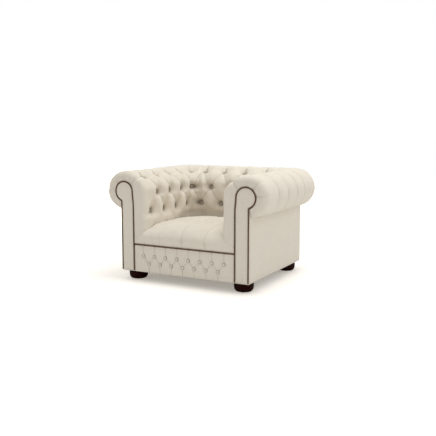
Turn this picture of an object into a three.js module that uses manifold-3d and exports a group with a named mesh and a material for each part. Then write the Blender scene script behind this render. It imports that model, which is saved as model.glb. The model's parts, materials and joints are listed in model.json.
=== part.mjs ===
// Deep-buttoned club armchair with rolled arms and back of one height, built as upholstery over a
// hardwood frame. Millimetres, +Z up, front towards -Y, origin on the floor under the middle of its box.
import * as THREE from "three";
import { mergeVertices } from "three/addons/utils/BufferGeometryUtils.js";
import Module from "manifold-3d";

const wasm = await Module();
wasm.setup();

// Overall frame of the chair, in plan from the middle of the seat
const PANEL_HALF_WIDTH = 447;
const FACING_FRONT = 407;
const PANEL_REAR = 410;
const FOOT_HEIGHT = 59.4;
const ROLL_HEIGHT = 565;
const GAP = 0.3;
const OVERRUN = 4;

// Roll and scroll
const ROLL_RADIUS = 127;
const ROLL_INSET = 22;
const ARM_REACH = 162;
const BACK_REACH = 183;
const SCROLL_RADIUS = 66;
const LEG_FLARE = 6.4;
const LEG_FLARE_DROP = 85;
const FRONT_ROUNDING = 47;
const TUCK_HEIGHT = 240;

// Plan of the rear corners
const CORNER_ARM_LEAD = 51;
const CORNER_MIDDLE_RADIUS = 24;
const CORNER_OUTER_RADIUS = 148;
const CORNER_INNER_RADIUS = 33;
const CORNER_SEAM = 0.6;

// Deep buttoning
const TUFT_FRONT_LEAD = 73;
const TOP_ROW_ANGLE_DEGREES = 117;
const MIDDLE_ROW_DROP = 9;
const LOW_ROW_DROP = 120;
const TUFT_ARM_COUNT = 4;
const TUFT_BACK_COUNT = 4;
const DIAMOND_SPREAD_SHARE = 0.6;
const TUCKED_PLEAT_SHARE = 0.6;
const DIAMOND_DEPTH = 23;
const DIAMOND_REACH = 60;
const ROLL_PLEAT_DEPTH = 12;
const SEAM_PLEAT_DEPTH = 6;
const ROLL_PLEAT_REACH = 52;
const BUTTON_PULL = 14;
const BUTTON_PULL_REACH = 21;
const ROLL_BUTTON_PULL = 9;
const ROLL_DIAMOND_DEPTH = 17;
const BUTTON_RADIUS = 11;
const BUTTON_CROWN = 6;
const FAN_PLEAT_DEPTH = 6;
const FAN_PLEAT_REACH = 20;
const FAN_PLEAT_RUN = 45;
const FAN_PLEAT_ANGLES_DEGREES = [112, 85, 47, 6];
const FAN_RIM_SHARE = 0.9;
const FRONT_PLEAT_ANGLE_DEGREES = 132;
const FRONT_PLEAT_REACH = 32;
const LOW_FRONT_PLEAT_DEPTH = 16;
const LOW_FRONT_PLEAT_END = 3;
const COVER_DEPTH_SHARE = 0.55;
const FOAM_GAP_SHARE = 0.006;
const FORMER_SHARE = 0.98;
const FRONT_PAD = 13;

// Facings and their nail trim
const FACING_THICK = 9;
const FACING_CROWN = 3.2;
const FACING_EDGE = 12;
const TRIM_INSET = 3.8;
const TRIM_HALF_WIDTH = 5;
const TRIM_RISE = 3.4;
const TRIM_DROP = 6.8;

// Seat
const SEAT_SIDE_CLEARANCE = 5;
const SEAT_BACK_CLEARANCE = 8;
const SEAT_CUT_CLEARANCE = 0.45;
const SEAT_FRONT_BULGE = 20;
const SEAT_FRONT_RISE = 46;
const SEAT_FRONT_ROLL = 187;
const SEAT_CROWN = 389;
const SEAT_SIDE_DROP = 27;
const SEAT_SHOULDER_DROP = 64;
const SEAT_BACK_DROP = 48;
const SEAT_BACK_ROUND = 250;
const SEAT_SQUARE = 160;
const SEAT_SEAM_LEAD = 87;
const SEAT_SEAM_COUNT = 4;
const SEAM_DEPTH = 8;
const SEAM_REACH = 34;
const SEAT_COVER_LAP = 1;
const SEAT_FLARE_RUN = 62;

// Front border, its pleats and its buttons
const BORDER_THICK = 13;
const BORDER_PITCH = 81.2;
const BORDER_UPPER_HEIGHT = 168;
const BORDER_LOWER_HEIGHT = 120;
const BORDER_PLEAT_DEPTH = 6;
const BORDER_PLEAT_REACH = 30;
const BORDER_BUTTON_RADIUS = 9.5;
const BORDER_BUTTON_CROWN = 4.5;
const BORDER_END_MARGIN = 30;

// Outside panels
const PANEL_THICK = 6;
const PANEL_CLEARANCE = 2.8;
const PANEL_CORNER_NOTCH = 96;

// Frame timber
const BOARD_THICK = 25;
const RAIL_THICK = 27;
const RAIL_DROP = 48;
const RAIL_LIFT = 1.6;
const DUST_CLOTH_THICK = 1;
const POST_WIDTH = 72;
const POST_CHAMFER = 24;
const TOP_RAIL_THICK = 28;
const TOP_RAIL_EDGE = 7;
const TOP_RAIL_SETBACK_SHARE = 0.22;
const STUFFING_RAIL_HEIGHT = 42;
const STUFFING_RAIL_THICK = 24;
const FORMER_THICK = 3.6;
const BLOCK_WIDTH = 90;
const BLOCK_DEPTH = 84;
const BLOCK_HEIGHT = 70;
const STAY_WIDTH = 50;
const STAY_THICK = 22;

// Feet
const FOOT_RADIUS = 60;
const FOOT_BASE_RADIUS = 40;
const FOOT_COLLAR = 7;
const FOOT_SIDE_INSET = 69;
const FOOT_FRONT_INSET = 80;
const FOOT_REAR_INSET = 80;
const BOLT_RADIUS = 4;
const BOLT_IN_FOOT = 30;
const BOLT_IN_BLOCK = 45;

// Springs, their clips and the platform
const SPRING_COUNT = 5;
const SPRING_PITCH = 118;
const SPRING_WIRE_RADIUS = 2;
const SPRING_LOOP_COUNT = 12;
const CLIP_WIDTH = 44;
const CLIP_DEPTH = 17;
const CLIP_BASE = 1.4;
const CLIP_WALL = 1.6;
const PLATFORM_THICK = 1;
const PLATFORM_CLEARANCE = 7.6;

// Facets of round stretches
const BUTTON_SEGMENTS = 6;
const ARC_SEGMENTS = 14;
const BORE_SEGMENTS = 5;
const BOLT_SEGMENTS = 10;
const FOOT_SEGMENTS = 18;
const FOOT_BELLY_SEGMENTS = 4;
const HALF_LOOP_SEGMENTS = 3;

// Height of the seam under a roll of a given radius, which stands straight over the panel.
const seamHeight = (radius) => ROLL_HEIGHT - Math.sqrt(radius ** 2 - ROLL_INSET ** 2);

const ROLL_X = PANEL_HALF_WIDTH - ROLL_INSET;
const ROLL_Y = PANEL_REAR - ROLL_INSET;
const ARM_FRONT = FRONT_ROUNDING - FACING_FRONT;
const ROLL_START_ANGLE = -Math.acos(ROLL_INSET / ROLL_RADIUS);
const INNER_X = ROLL_X - ARM_REACH;
const INNER_Y = ROLL_Y - BACK_REACH;
const CORNER_ARM_START = INNER_Y - CORNER_ARM_LEAD;
const CORNER_BACK_START = INNER_X - CORNER_INNER_RADIUS;
const U_FRONT = ARM_FRONT - CORNER_ARM_START;
const TUFT_PITCH = -(U_FRONT + TUFT_FRONT_LEAD) / (TUFT_ARM_COUNT - 1);
const BACK_PITCH = (2 * CORNER_BACK_START) / (TUFT_BACK_COUNT - 1);
const CORNER_SPAN = TUFT_PITCH;
const U_MIDDLE = CORNER_SPAN + CORNER_BACK_START;
const RING_SPAN = 2 * FRONT_ROUNDING;
const FRAME_BOTTOM = FOOT_HEIGHT + RAIL_LIFT;
const COVER_BOTTOM = FOOT_HEIGHT + GAP;
const BOARD_FRONT = FACING_FRONT - FACING_THICK - GAP;
const BOARD_REAR = BOARD_FRONT - BOARD_THICK;
const PANEL_INSIDE = PANEL_HALF_WIDTH - PANEL_THICK;
const POST_REAR = PANEL_REAR - PANEL_THICK - GAP;
const POST_FRONT = POST_REAR - RAIL_THICK;
const PANEL_TOP = seamHeight(SCROLL_RADIUS) - PANEL_CLEARANCE;
const PANEL_TUCK = seamHeight(ROLL_RADIUS) - PANEL_CLEARANCE;
const RAIL_TOP = TUCK_HEIGHT - RAIL_DROP;
const BORDER_TRIM_HEIGHT = TUCK_HEIGHT - TRIM_DROP;
const SEAT_COVER_THICK = BORDER_THICK + SEAT_COVER_LAP;
const SEAT_HALF_WIDTH = INNER_X - SEAT_SIDE_CLEARANCE;
const SEAT_BACK_EDGE = INNER_Y - SEAT_BACK_CLEARANCE;
const SEAT_FRONT_REACH = FACING_FRONT + SEAT_FRONT_BULGE;
const SEAT_FRONT_HEIGHT = TUCK_HEIGHT + SEAT_FRONT_RISE;
const SEAT_CROWN_START = SEAT_FRONT_REACH - SEAT_FRONT_ROLL;
const SEAT_SEAM_FRONT = SEAT_FRONT_REACH - SEAT_SEAM_LEAD;
const SEAT_FLARE_START = FACING_FRONT - SEAT_FLARE_RUN;
const SPRING_HEIGHT = RAIL_TOP + CLIP_BASE + SPRING_WIRE_RADIUS + 2 * GAP;
const PLATFORM_HEIGHT = SPRING_HEIGHT + SPRING_WIRE_RADIUS + CLIP_WALL + 2 * GAP;
const DECK_HEIGHT = PLATFORM_HEIGHT + PLATFORM_THICK + GAP;
const LEG_INNER = ROLL_X - SCROLL_RADIUS - LEG_FLARE;
const PLATFORM_HALF_WIDTH = LEG_INNER - PLATFORM_CLEARANCE;
const TRIM_RIM = TRIM_INSET + TRIM_HALF_WIDTH + GAP;
const TRIM_EDGE = LEG_INNER + TRIM_INSET - TRIM_HALF_WIDTH - GAP;

const MATERIALS = {
  linen: { color: 0xd9d1c0, roughness: 0.92, metalness: 0 },
  nail: { color: 0x4a3527, roughness: 0.42, metalness: 0.85 },
  mahogany: { color: 0x1d0d09, roughness: 0.25, metalness: 0 },
  beech: { color: 0xb98f5f, roughness: 0.7, metalness: 0 },
  board: { color: 0x9c7b55, roughness: 0.85, metalness: 0 },
  foam: { color: 0xe6dfae, roughness: 0.95, metalness: 0 },
  hessian: { color: 0x9f8560, roughness: 0.95, metalness: 0 },
  steel: { color: 0x8b8f94, roughness: 0.4, metalness: 0.9 },
  dust_cloth: { color: 0x1b1b1d, roughness: 0.95, metalness: 0 },
};

const chair = new THREE.Group();
chair.name = "deep_buttoned_armchair";
for (const [name, values] of Object.entries(MATERIALS)) {
  MATERIALS[name] = new THREE.MeshStandardMaterial(values);
}

// Solids and meshes

const OTHER_SIDE = new THREE.Vector3(-1, 1, 1);

// Closed geometry as a solid, turned to face out.
function solidOf(geometry) {
  const bare = geometry.clone();
  bare.deleteAttribute("normal");
  bare.deleteAttribute("uv");
  const merged = mergeVertices(bare, GAP / 100);
  const triVerts = new Uint32Array(merged.index.array);
  const vertProperties = new Float32Array(merged.attributes.position.array);
  const made = new wasm.Manifold(new wasm.Mesh({ numProp: 3, vertProperties, triVerts }));
  if (made.volume() >= 0) return made;
  for (let i = 0; i < triVerts.length; i += 3) {
    [triVerts[i + 1], triVerts[i + 2]] = [triVerts[i + 2], triVerts[i + 1]];
  }
  return new wasm.Manifold(new wasm.Mesh({ numProp: 3, vertProperties, triVerts }));
}

// Solid back to a drawable geometry with flat normals.
function geometryOf(solid) {
  const mesh = solid.getMesh();
  const geometry = new THREE.BufferGeometry();
  geometry.setAttribute("position", new THREE.BufferAttribute(mesh.vertProperties, mesh.numProp));
  geometry.setIndex(new THREE.BufferAttribute(mesh.triVerts, 1));
  const flat = geometry.toNonIndexed();
  flat.computeVertexNormals();
  return flat;
}

function addPiece(name, shape, material) {
  const geometry = shape.isBufferGeometry ? shape : geometryOf(shape);
  const mesh = new THREE.Mesh(geometry, MATERIALS[material]);
  mesh.name = name;
  chair.add(mesh);
  return mesh;
}

// The same piece on the other side of the chair.
function mirrored(shape) {
  const geometry = shape.isBufferGeometry ? shape.clone() : geometryOf(shape);
  return geometryOf(solidOf(geometry.scale(-1, 1, 1)));
}

function addPair(name, shape, material) {
  addPiece("right_" + name, shape, material);
  addPiece("left_" + name, mirrored(shape), material);
}

// A box between two places along each axis.
function block([x0, x1], [y0, y1], [z0, z1]) {
  const box = new THREE.BoxGeometry(x1 - x0, y1 - y0, z1 - z0);
  return box.translate((x0 + x1) / 2, (y0 + y1) / 2, (z0 + z1) / 2);
}

// Two places the same way either side of the middle.
const bothWays = (reach) => [-reach, reach];

// An outline of (x, z) run along Y.
function alongY(shape, y0, y1, curveSegments) {
  const run = new THREE.ExtrudeGeometry(shape, { depth: y1 - y0, bevelEnabled: false, curveSegments });
  return run.rotateX(Math.PI / 2).translate(0, y1, 0);
}

// An outline of (y, z) run along X.
function alongX(shape, x0, x1, curveSegments) {
  const run = new THREE.ExtrudeGeometry(shape, { depth: x1 - x0, bevelEnabled: false, curveSegments });
  const turn = new THREE.Matrix4().makeBasis(
    new THREE.Vector3(0, 1, 0),
    new THREE.Vector3(0, 0, 1),
    new THREE.Vector3(1, 0, 0),
  );
  return run.applyMatrix4(turn).translate(x0, 0, 0);
}

// An outline of (x, y) run up Z.
function alongZ(shape, z0, z1, curveSegments) {
  const run = new THREE.ExtrudeGeometry(shape, { depth: z1 - z0, bevelEnabled: false, curveSegments });
  return run.translate(0, 0, z0);
}

function polygon(points) {
  return new THREE.Shape(points.map(([a, b]) => new THREE.Vector2(a, b)));
}

// Skin over a row of closed loops with a cap on the first and the last, either triangulated in a
// plane or given as faces in the order of the loop. Each quad is split along its deeper diagonal,
// so that a pleat runs along edges.
function loft(loops, depths, capPlane, capFaces) {
  const count = loops[0].length;
  const last = loops.length - 1;
  const positions = loops.flat().flatMap((p) => [p.x, p.y, p.z]);
  const index = [];
  for (let i = 0; i < last; i++) {
    for (let j = 0; j < count; j++) {
      const k = (j + 1) % count;
      const [near, far] = [i * count, (i + 1) * count];
      const [a, b, c, d] = [near + j, near + k, far + k, far + j];
      const along = depths ? depths[i][j] + depths[i + 1][k] : 1;
      const across = depths ? depths[i][k] + depths[i + 1][j] : 0;
      index.push(...(along >= across ? [a, b, c, a, c, d] : [a, b, d, b, c, d]));
    }
  }
  for (const [row, flip] of [[0, false], [last, true]]) {
    const flat = capFaces ? [] : loops[row].map(capPlane);
    const faces = capFaces ?? THREE.ShapeUtils.triangulateShape(flat, []);
    const turned = capFaces ? flip : THREE.ShapeUtils.isClockWise(flat) !== flip;
    for (const [a, b, c] of faces) {
      const face = turned ? [a, b, c] : [a, c, b];
      index.push(...face.map((n) => row * count + n));
    }
  }
  const geometry = new THREE.BufferGeometry();
  geometry.setAttribute("position", new THREE.Float32BufferAttribute(positions, 3));
  geometry.setIndex(index);
  return solidOf(geometry);
}

const facingPlane = (p) => new THREE.Vector2(p.x, p.z);
const sidePlane = (p) => new THREE.Vector2(p.y, p.z);

// The padded U of arms and back. u runs from the front of the right arm round to the front of
// the left one; v runs from the seam under the roll, over it and down to the seat.

// Radius of a rear corner in plan, a given way out from the middle of the roll.
function cornerRadius(out) {
  const edge = out > 0 ? CORNER_OUTER_RADIUS : CORNER_INNER_RADIUS;
  const reach = out > 0 ? ROLL_RADIUS : ARM_REACH;
  return CORNER_MIDDLE_RADIUS + ((edge - CORNER_MIDDLE_RADIUS) * Math.abs(out)) / reach;
}

// Point in plan at u, with the way out from the roll's middle on an arm and on the back.
function planPoint(u, armOut, backOut, z) {
  if (u > U_MIDDLE) return planPoint(2 * U_MIDDLE - u, armOut, backOut, z).multiply(OTHER_SIDE);
  if (u <= 0) return new THREE.Vector3(ROLL_X + armOut, CORNER_ARM_START + u, z);
  if (u >= CORNER_SPAN) return new THREE.Vector3(U_MIDDLE - u, ROLL_Y + backOut, z);
  const width = ROLL_X + armOut - CORNER_BACK_START;
  const depth = ROLL_Y + backOut - CORNER_ARM_START;
  const radius = Math.min(cornerRadius(armOut), width, depth);
  const bend = (radius * Math.PI) / 2;
  let run = (u / CORNER_SPAN) * (width + depth - 2 * radius + bend);
  const at = (x, y) => new THREE.Vector3(CORNER_BACK_START + x, CORNER_ARM_START + y, z);
  if (run <= depth - radius) return at(width, run);
  run -= depth - radius;
  if (run >= bend) return at(width - radius - (run - bend), depth);
  const turn = run / radius;
  return at(width - radius + radius * Math.cos(turn), depth - radius + radius * Math.sin(turn));
}

// Section of the padding at v: the way out on an arm, on the back, and the height.
function rollSection(v) {
  const angle = ROLL_START_ANGLE + (Math.PI - ROLL_START_ANGLE) * Math.min(v, 1);
  const inner = angle > Math.PI / 2;
  return {
    arm: (inner ? ARM_REACH : ROLL_RADIUS) * Math.cos(angle),
    back: (inner ? BACK_REACH : ROLL_RADIUS) * Math.cos(angle),
    z: ROLL_HEIGHT + ROLL_RADIUS * Math.sin(angle) - Math.max(v - 1, 0) * (ROLL_HEIGHT - TUCK_HEIGHT),
  };
}

// Section of the scroll that the padding is drawn over, at the same v.
function scrollSection(v, grow = 0) {
  const radius = SCROLL_RADIUS + grow;
  const start = -Math.acos((ROLL_INSET + grow) / radius);
  const angle = start + (Math.PI - start) * Math.min(v, 1);
  const drop = Math.max(v - 1, 0) * (ROLL_HEIGHT - TUCK_HEIGHT);
  const out = radius * Math.cos(angle) - LEG_FLARE * THREE.MathUtils.smoothstep(drop, 0, LEG_FLARE_DROP);
  return { arm: out, back: out, z: ROLL_HEIGHT + radius * Math.sin(angle) - drop };
}

// Section a share of the way in from the padding to the scroll.
function innerSection(v, share) {
  const [outer, inner] = [rollSection(v), scrollSection(v)];
  const mix = (key) => THREE.MathUtils.lerp(outer[key], inner[key], share);
  return { arm: mix("arm"), back: mix("back"), z: mix("z") };
}

// Front of an arm: flat round the scroll, then rounded back to the full padding.
function ringPoint(u, v) {
  const [outer, inner] = [rollSection(v), scrollSection(v)];
  const wide = Math.hypot(outer.arm - inner.arm, outer.z - inner.z);
  const rounding = Math.min(FRONT_ROUNDING, wide);
  const flat = wide - rounding;
  const bend = (rounding * Math.PI) / 2;
  const run = (1 - (U_FRONT - u) / RING_SPAN) * (flat + bend);
  const turn = Math.max(run - flat, 0) / rounding;
  const out = Math.min(run, flat) + rounding * Math.sin(turn);
  const share = 1 - out / wide;
  return new THREE.Vector3(
    ROLL_X + THREE.MathUtils.lerp(outer.arm, inner.arm, share),
    -FACING_FRONT + rounding * (1 - Math.cos(turn)),
    THREE.MathUtils.lerp(outer.z, inner.z, share),
  );
}

// The padded surface before buttoning.
function paddedPoint(u, v) {
  const beyond = u > U_MIDDLE;
  const near = beyond ? 2 * U_MIDDLE - u : u;
  const section = rollSection(v);
  const { arm, back, z } = section;
  const point = near < U_FRONT ? ringPoint(near, v) : planPoint(near, arm, back, z);
  return beyond ? point.multiply(OTHER_SIDE) : point;
}

// Outward direction of the padded surface.
function paddedNormal(u, v) {
  const [du, dv] = [GAP, GAP / ROLL_RADIUS];
  const alongU = paddedPoint(u + du, v).sub(paddedPoint(u - du, v));
  const alongV = paddedPoint(u, Math.min(v + dv, 2)).sub(paddedPoint(u, Math.max(v - dv, 0)));
  return alongU.cross(alongV).normalize();
}

// Deep buttoning: three staggered rows of buttons joined by pleats

const armColumn = (n) => (n - TUFT_ARM_COUNT + 1) * TUFT_PITCH;
const heightToV = (z) => 1 + (ROLL_HEIGHT - z) / (ROLL_HEIGHT - TUCK_HEIGHT);
// v at an angle round the roll, from straight out.
function angleToV(degrees) {
  const angle = THREE.MathUtils.degToRad(degrees);
  return (angle - ROLL_START_ANGLE) / (Math.PI - ROLL_START_ANGLE);
}

const TOP_ROW = angleToV(TOP_ROW_ANGLE_DEGREES);
const MIDDLE_ROW = heightToV(ROLL_HEIGHT - MIDDLE_ROW_DROP);
const LOW_ROW = heightToV(ROLL_HEIGHT - LOW_ROW_DROP);

// Places along the U of a row's buttons, from the right arm round to the left one. A staggered
// row stands half a pitch off the others and has a button less on each straight.
function rowPlaces(staggered) {
  const fewer = staggered ? 1 : 0;
  const row = (count, place) => Array.from({ length: count - fewer }, (_, n) => place(n + fewer / 2));
  const arm = row(TUFT_ARM_COUNT, armColumn);
  const back = row(TUFT_BACK_COUNT, (n) => CORNER_SPAN + n * BACK_PITCH);
  const half = [...arm, CORNER_SPAN / 2];
  return [...half, ...back, ...half.map((u) => 2 * U_MIDDLE - u).reverse()];
}

const isCorner = (u) => Math.abs(Math.abs(u - U_MIDDLE) - (U_MIDDLE - CORNER_SPAN / 2)) < GAP;
const topPlaces = rowPlaces(false);
const middlePlaces = rowPlaces(true);
const lowPlaces = topPlaces.filter((u) => !isCorner(u));

// A pleat from (u0, v0) to (u1, v1), as points on the padding with their depth and reach.
function pleat(u0, v0, u1, v1, depth0, depth1, reach) {
  const straight = paddedPoint(u0, v0).distanceTo(paddedPoint(u1, v1));
  const count = Math.ceil((straight + Math.abs(v1 - v0) * ROLL_RADIUS) / BUTTON_RADIUS);
  return Array.from({ length: count + 1 }, (_, n) => {
    const share = n / count;
    const [u, v] = [THREE.MathUtils.lerp(u0, u1, share), THREE.MathUtils.lerp(v0, v1, share)];
    return { at: paddedPoint(u, v), depth: THREE.MathUtils.lerp(depth0, depth1, share), reach };
  });
}

// Pleats from each button of a row to its two neighbours in the middle row.
function diamondPleats(places, v, depth) {
  const spread = DIAMOND_SPREAD_SHARE * Math.max(TUFT_PITCH, BACK_PITCH);
  const pairs = places.flatMap((a) => middlePlaces.map((b) => [a, b]));
  return pairs
    .filter(([a, b]) => Math.abs(a - b) < spread)
    .flatMap(([a, b]) => pleat(a, v, b, MIDDLE_ROW, depth, DIAMOND_DEPTH, DIAMOND_REACH));
}

// Pleat from a button down to the seat.
function seatPleat(u, v) {
  return pleat(u, v, u, 2, DIAMOND_DEPTH, DIAMOND_DEPTH * TUCKED_PLEAT_SHARE, DIAMOND_REACH);
}

// Pleat from a button of the top row over the roll to its seam.
function rollPleat(u) {
  return pleat(u, TOP_ROW, u, 0, ROLL_PLEAT_DEPTH, SEAM_PLEAT_DEPTH, ROLL_PLEAT_REACH);
}

// Pleats that leave one arm forwards, over the front of the roll and round the scroll.
function frontPleats() {
  const first = armColumn(0);
  const rim = U_FRONT - RING_SPAN * FAN_RIM_SHARE;
  const high = angleToV(FRONT_PLEAT_ANGLE_DEGREES);
  return [
    pleat(first, TOP_ROW, rim, high, ROLL_DIAMOND_DEPTH, FAN_PLEAT_DEPTH, FRONT_PLEAT_REACH),
    pleat(first, LOW_ROW, rim, LOW_ROW, LOW_FRONT_PLEAT_DEPTH, LOW_FRONT_PLEAT_END, FRONT_PLEAT_REACH),
    ...FAN_PLEAT_ANGLES_DEGREES.map(angleToV).map((v) =>
      pleat(rim, v, U_FRONT + FAN_PLEAT_RUN, v, FAN_PLEAT_DEPTH, 0, FAN_PLEAT_REACH),
    ),
  ].flat();
}

const pleats = [
  ...diamondPleats(topPlaces, TOP_ROW, ROLL_DIAMOND_DEPTH),
  ...diamondPleats(lowPlaces, LOW_ROW, DIAMOND_DEPTH),
  ...topPlaces.flatMap((u) => rollPleat(u)),
  ...lowPlaces.flatMap((u) => seatPleat(u, LOW_ROW)),
  ...middlePlaces.filter(isCorner).flatMap((u) => seatPleat(u, MIDDLE_ROW)),
  ...frontPleats(),
  ...frontPleats().map((point) => ({ ...point, at: point.at.multiply(OTHER_SIDE) })),
];

const tuftButtons = [
  ...topPlaces.map((u) => ({ u, v: TOP_ROW, pull: ROLL_BUTTON_PULL, base: ROLL_DIAMOND_DEPTH })),
  ...middlePlaces.map((u) => ({ u, v: MIDDLE_ROW, pull: BUTTON_PULL, base: DIAMOND_DEPTH })),
  ...lowPlaces.map((u) => ({ u, v: LOW_ROW, pull: BUTTON_PULL, base: DIAMOND_DEPTH })),
].map((button) => ({ ...button, at: paddedPoint(button.u, button.v) }));

// How far the cover is drawn in at a point of the padding. A puff rises from its pleat like a
// quarter round.
function drawnIn(point) {
  let depth = 0;
  for (const line of pleats) {
    const near = line.at.distanceTo(point) / line.reach;
    if (near < 1) depth = Math.max(depth, line.depth * (1 - Math.sqrt(1 - (1 - near) ** 2)));
  }
  for (const button of tuftButtons) {
    const near = button.at.distanceTo(point) / BUTTON_PULL_REACH;
    depth += button.pull * Math.exp(-near * near);
  }
  return depth;
}

function drawnPoint(u, v) {
  const point = paddedPoint(u, v);
  const depth = drawnIn(point);
  return { point: point.addScaledVector(paddedNormal(u, v), -depth), depth };
}

// Even steps between listed marks.
function steps(marks, counts) {
  const runs = counts.map((count, n) =>
    Array.from({ length: count }, (_, k) => THREE.MathUtils.lerp(marks[n], marks[n + 1], (k + 1) / count)),
  );
  return [marks[0], ...runs.flat()];
}

// Numbers in order, without those that lie closer than a least step to the one before.
function spaced(values, least) {
  const kept = [];
  for (const value of values.sort((a, b) => a - b)) {
    if (!kept.length || value - kept[kept.length - 1] > least) kept.push(value);
  }
  return kept;
}

// Shares of the way round a corner, closer where the plan bends, and of the way from the seam to
// the top row where the steps grow.
const CORNER_STEP_SHARES = [0.17, 0.33, 0.42, 0.5, 0.58, 0.67, 0.83];
const CORNER_CORE_SHARES = [0.3, 0.42, 0.5, 0.58, 0.7];
const CREST_SHARE = 0.72;
const roundCorner = (shares) => shares.map((share) => share * CORNER_SPAN);
const wholeU = (half) => [...half, ...half.slice(0, -1).map((u) => 2 * U_MIDDLE - u).reverse()];

// Steps between the marks along the U and round its section; a tuft takes six of the first.
const [RING_COUNT, LEAD_COUNT, TUFT_COUNT, HALF_BACK_COUNT] = [4, 2, 6, 9];
const ROW_COUNTS = [6, 2, 3, 3, 2];
const ARM_COUNTS = [RING_COUNT, LEAD_COUNT, TUFT_COUNT * (TUFT_ARM_COUNT - 1)];
const stations = wholeU([
  ...steps([U_FRONT - RING_SPAN, U_FRONT, armColumn(0), 0], ARM_COUNTS),
  ...roundCorner(CORNER_STEP_SHARES),
  ...steps([CORNER_SPAN, U_MIDDLE], [HALF_BACK_COUNT]),
]);
const rows = steps([0, TOP_ROW * CREST_SHARE, TOP_ROW, MIDDLE_ROW, LOW_ROW, 2], ROW_COUNTS);

// The whole U of upholstery, solid down to a line across each section.
function upholsterySolid() {
  const drawn = stations.map((u) => rows.map((v) => drawnPoint(u, v)));
  const loops = drawn.map((row) => row.map(({ point }) => point));
  const depths = drawn.map((row) => row.map(({ depth }) => depth));
  let solid = loft(loops, depths, facingPlane);
  for (const button of tuftButtons) solid = solid.add(coveredButton(button));
  return solid;
}

// Section of a covered button, as shares of its radius and of its crown, and as deep below the
// cloth as it stands over it.
const BUTTON_PROFILE_SHARES = [[0, -1], [0.8, -1], [1, 0], [0.8, 0.8], [0, 1]];

function buttonDome(radius, crown) {
  const profile = BUTTON_PROFILE_SHARES.map(([out, up]) => new THREE.Vector2(out * radius, up * crown));
  return new THREE.LatheGeometry(profile, BUTTON_SEGMENTS);
}

function coveredButton({ u, v, at, pull, base }) {
  const normal = paddedNormal(u, v);
  const turn = new THREE.Quaternion().setFromUnitVectors(new THREE.Vector3(0, 1, 0), normal);
  const seat = at.clone().addScaledVector(normal, -(pull + base));
  const dome = buttonDome(BUTTON_RADIUS, BUTTON_CROWN);
  return solidOf(dome.applyQuaternion(turn).translate(seat.x, seat.y, seat.z));
}

// Marks round a scroll's section: the roll in even steps, the flare of the leg and its foot.
function scrollMarks(roundCount) {
  return steps([0, 1, heightToV(ROLL_HEIGHT - LEG_FLARE_DROP), 2], [roundCount, 2, 1]);
}

// A coarse U inside the padding, a share of the way in, between a front, a wall under the roll's
// seam and a bottom.
function innerU(share, front, wallOut, bottom, roundCount) {
  const marks = scrollMarks(roundCount);
  const start = front - CORNER_ARM_START;
  const places = wholeU([start, 0, ...roundCorner(CORNER_CORE_SHARES), CORNER_SPAN, U_MIDDLE]);
  const loops = places.map((u) => {
    const sections = marks.map((v) => innerSection(v, share));
    const foot = { ...sections[sections.length - 1], z: bottom };
    const wall = { arm: wallOut, back: wallOut };
    sections.push(foot, { ...wall, z: bottom }, { ...wall, z: sections[0].z });
    return sections.map(({ arm, back, z }) => planPoint(u, arm, back, z));
  });
  return loft(loops, null, facingPlane);
}

// Keyhole outline of a facing, grown or shrunk, down to a given height. The leg's outer edge may
// stand further in than the rest.
function scrollOutline(grow, bottom, outerGrow = grow) {
  const radius = SCROLL_RADIUS + grow;
  const start = -Math.acos((ROLL_INSET + outerGrow) / radius);
  const shape = new THREE.Shape();
  shape.absarc(ROLL_X, ROLL_HEIGHT, radius, start, Math.PI, false);
  const [top, low] = [ROLL_X - radius, ROLL_X - radius - LEG_FLARE];
  const bend = LEG_FLARE_DROP / 2;
  shape.bezierCurveTo(top, ROLL_HEIGHT - bend, low, ROLL_HEIGHT - bend, low, ROLL_HEIGHT - LEG_FLARE_DROP);
  shape.lineTo(low, bottom);
  shape.lineTo(ROLL_X + ROLL_INSET + outerGrow, bottom);
  shape.closePath();
  return shape;
}

// Seat: crowned, stitched in squares, rolling over the front edge

// How fast the crown falls to the sides, over the shoulders and to the back, and how round the
// front edge rolls over and climbs.
const SEAT_POWERS = { side: 2.2, shoulder: 1.2, back: 4, front: 0.8, climb: 0.9 };

// Half width of the seat, which flares in front of the arms; its core doesn't.
function seatHalfWidth(y, flared) {
  if (!flared) return SEAT_HALF_WIDTH;
  const flare = THREE.MathUtils.smoothstep(-y, SEAT_FLARE_START, FACING_FRONT - GAP);
  return THREE.MathUtils.lerp(SEAT_HALF_WIDTH, TRIM_EDGE - GAP, flare);
}

// Height of the crown across the seat, before it falls at the front and the back.
function seatCrown(x) {
  const side = Math.min(Math.abs(x) / SEAT_HALF_WIDTH, 1);
  const shoulder = Math.max(Math.abs(x) - SEAT_HALF_WIDTH, 0) / (LEG_INNER - SEAT_HALF_WIDTH);
  const { side: sidePower, shoulder: shoulderPower } = SEAT_POWERS;
  return SEAT_CROWN - SEAT_SIDE_DROP * side ** sidePower - SEAT_SHOULDER_DROP * shoulder ** shoulderPower;
}

const seatSeams = {
  across: [-SEAT_SQUARE, 0, SEAT_SQUARE],
  along: Array.from({ length: SEAT_SEAM_COUNT }, (_, n) => -SEAT_SEAM_FRONT + n * SEAT_SQUARE),
};

function seamDepth(distance, depth, reach) {
  const near = Math.abs(distance) / reach;
  return near < 1 ? depth * (1 - near) ** 2 : 0;
}

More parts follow.
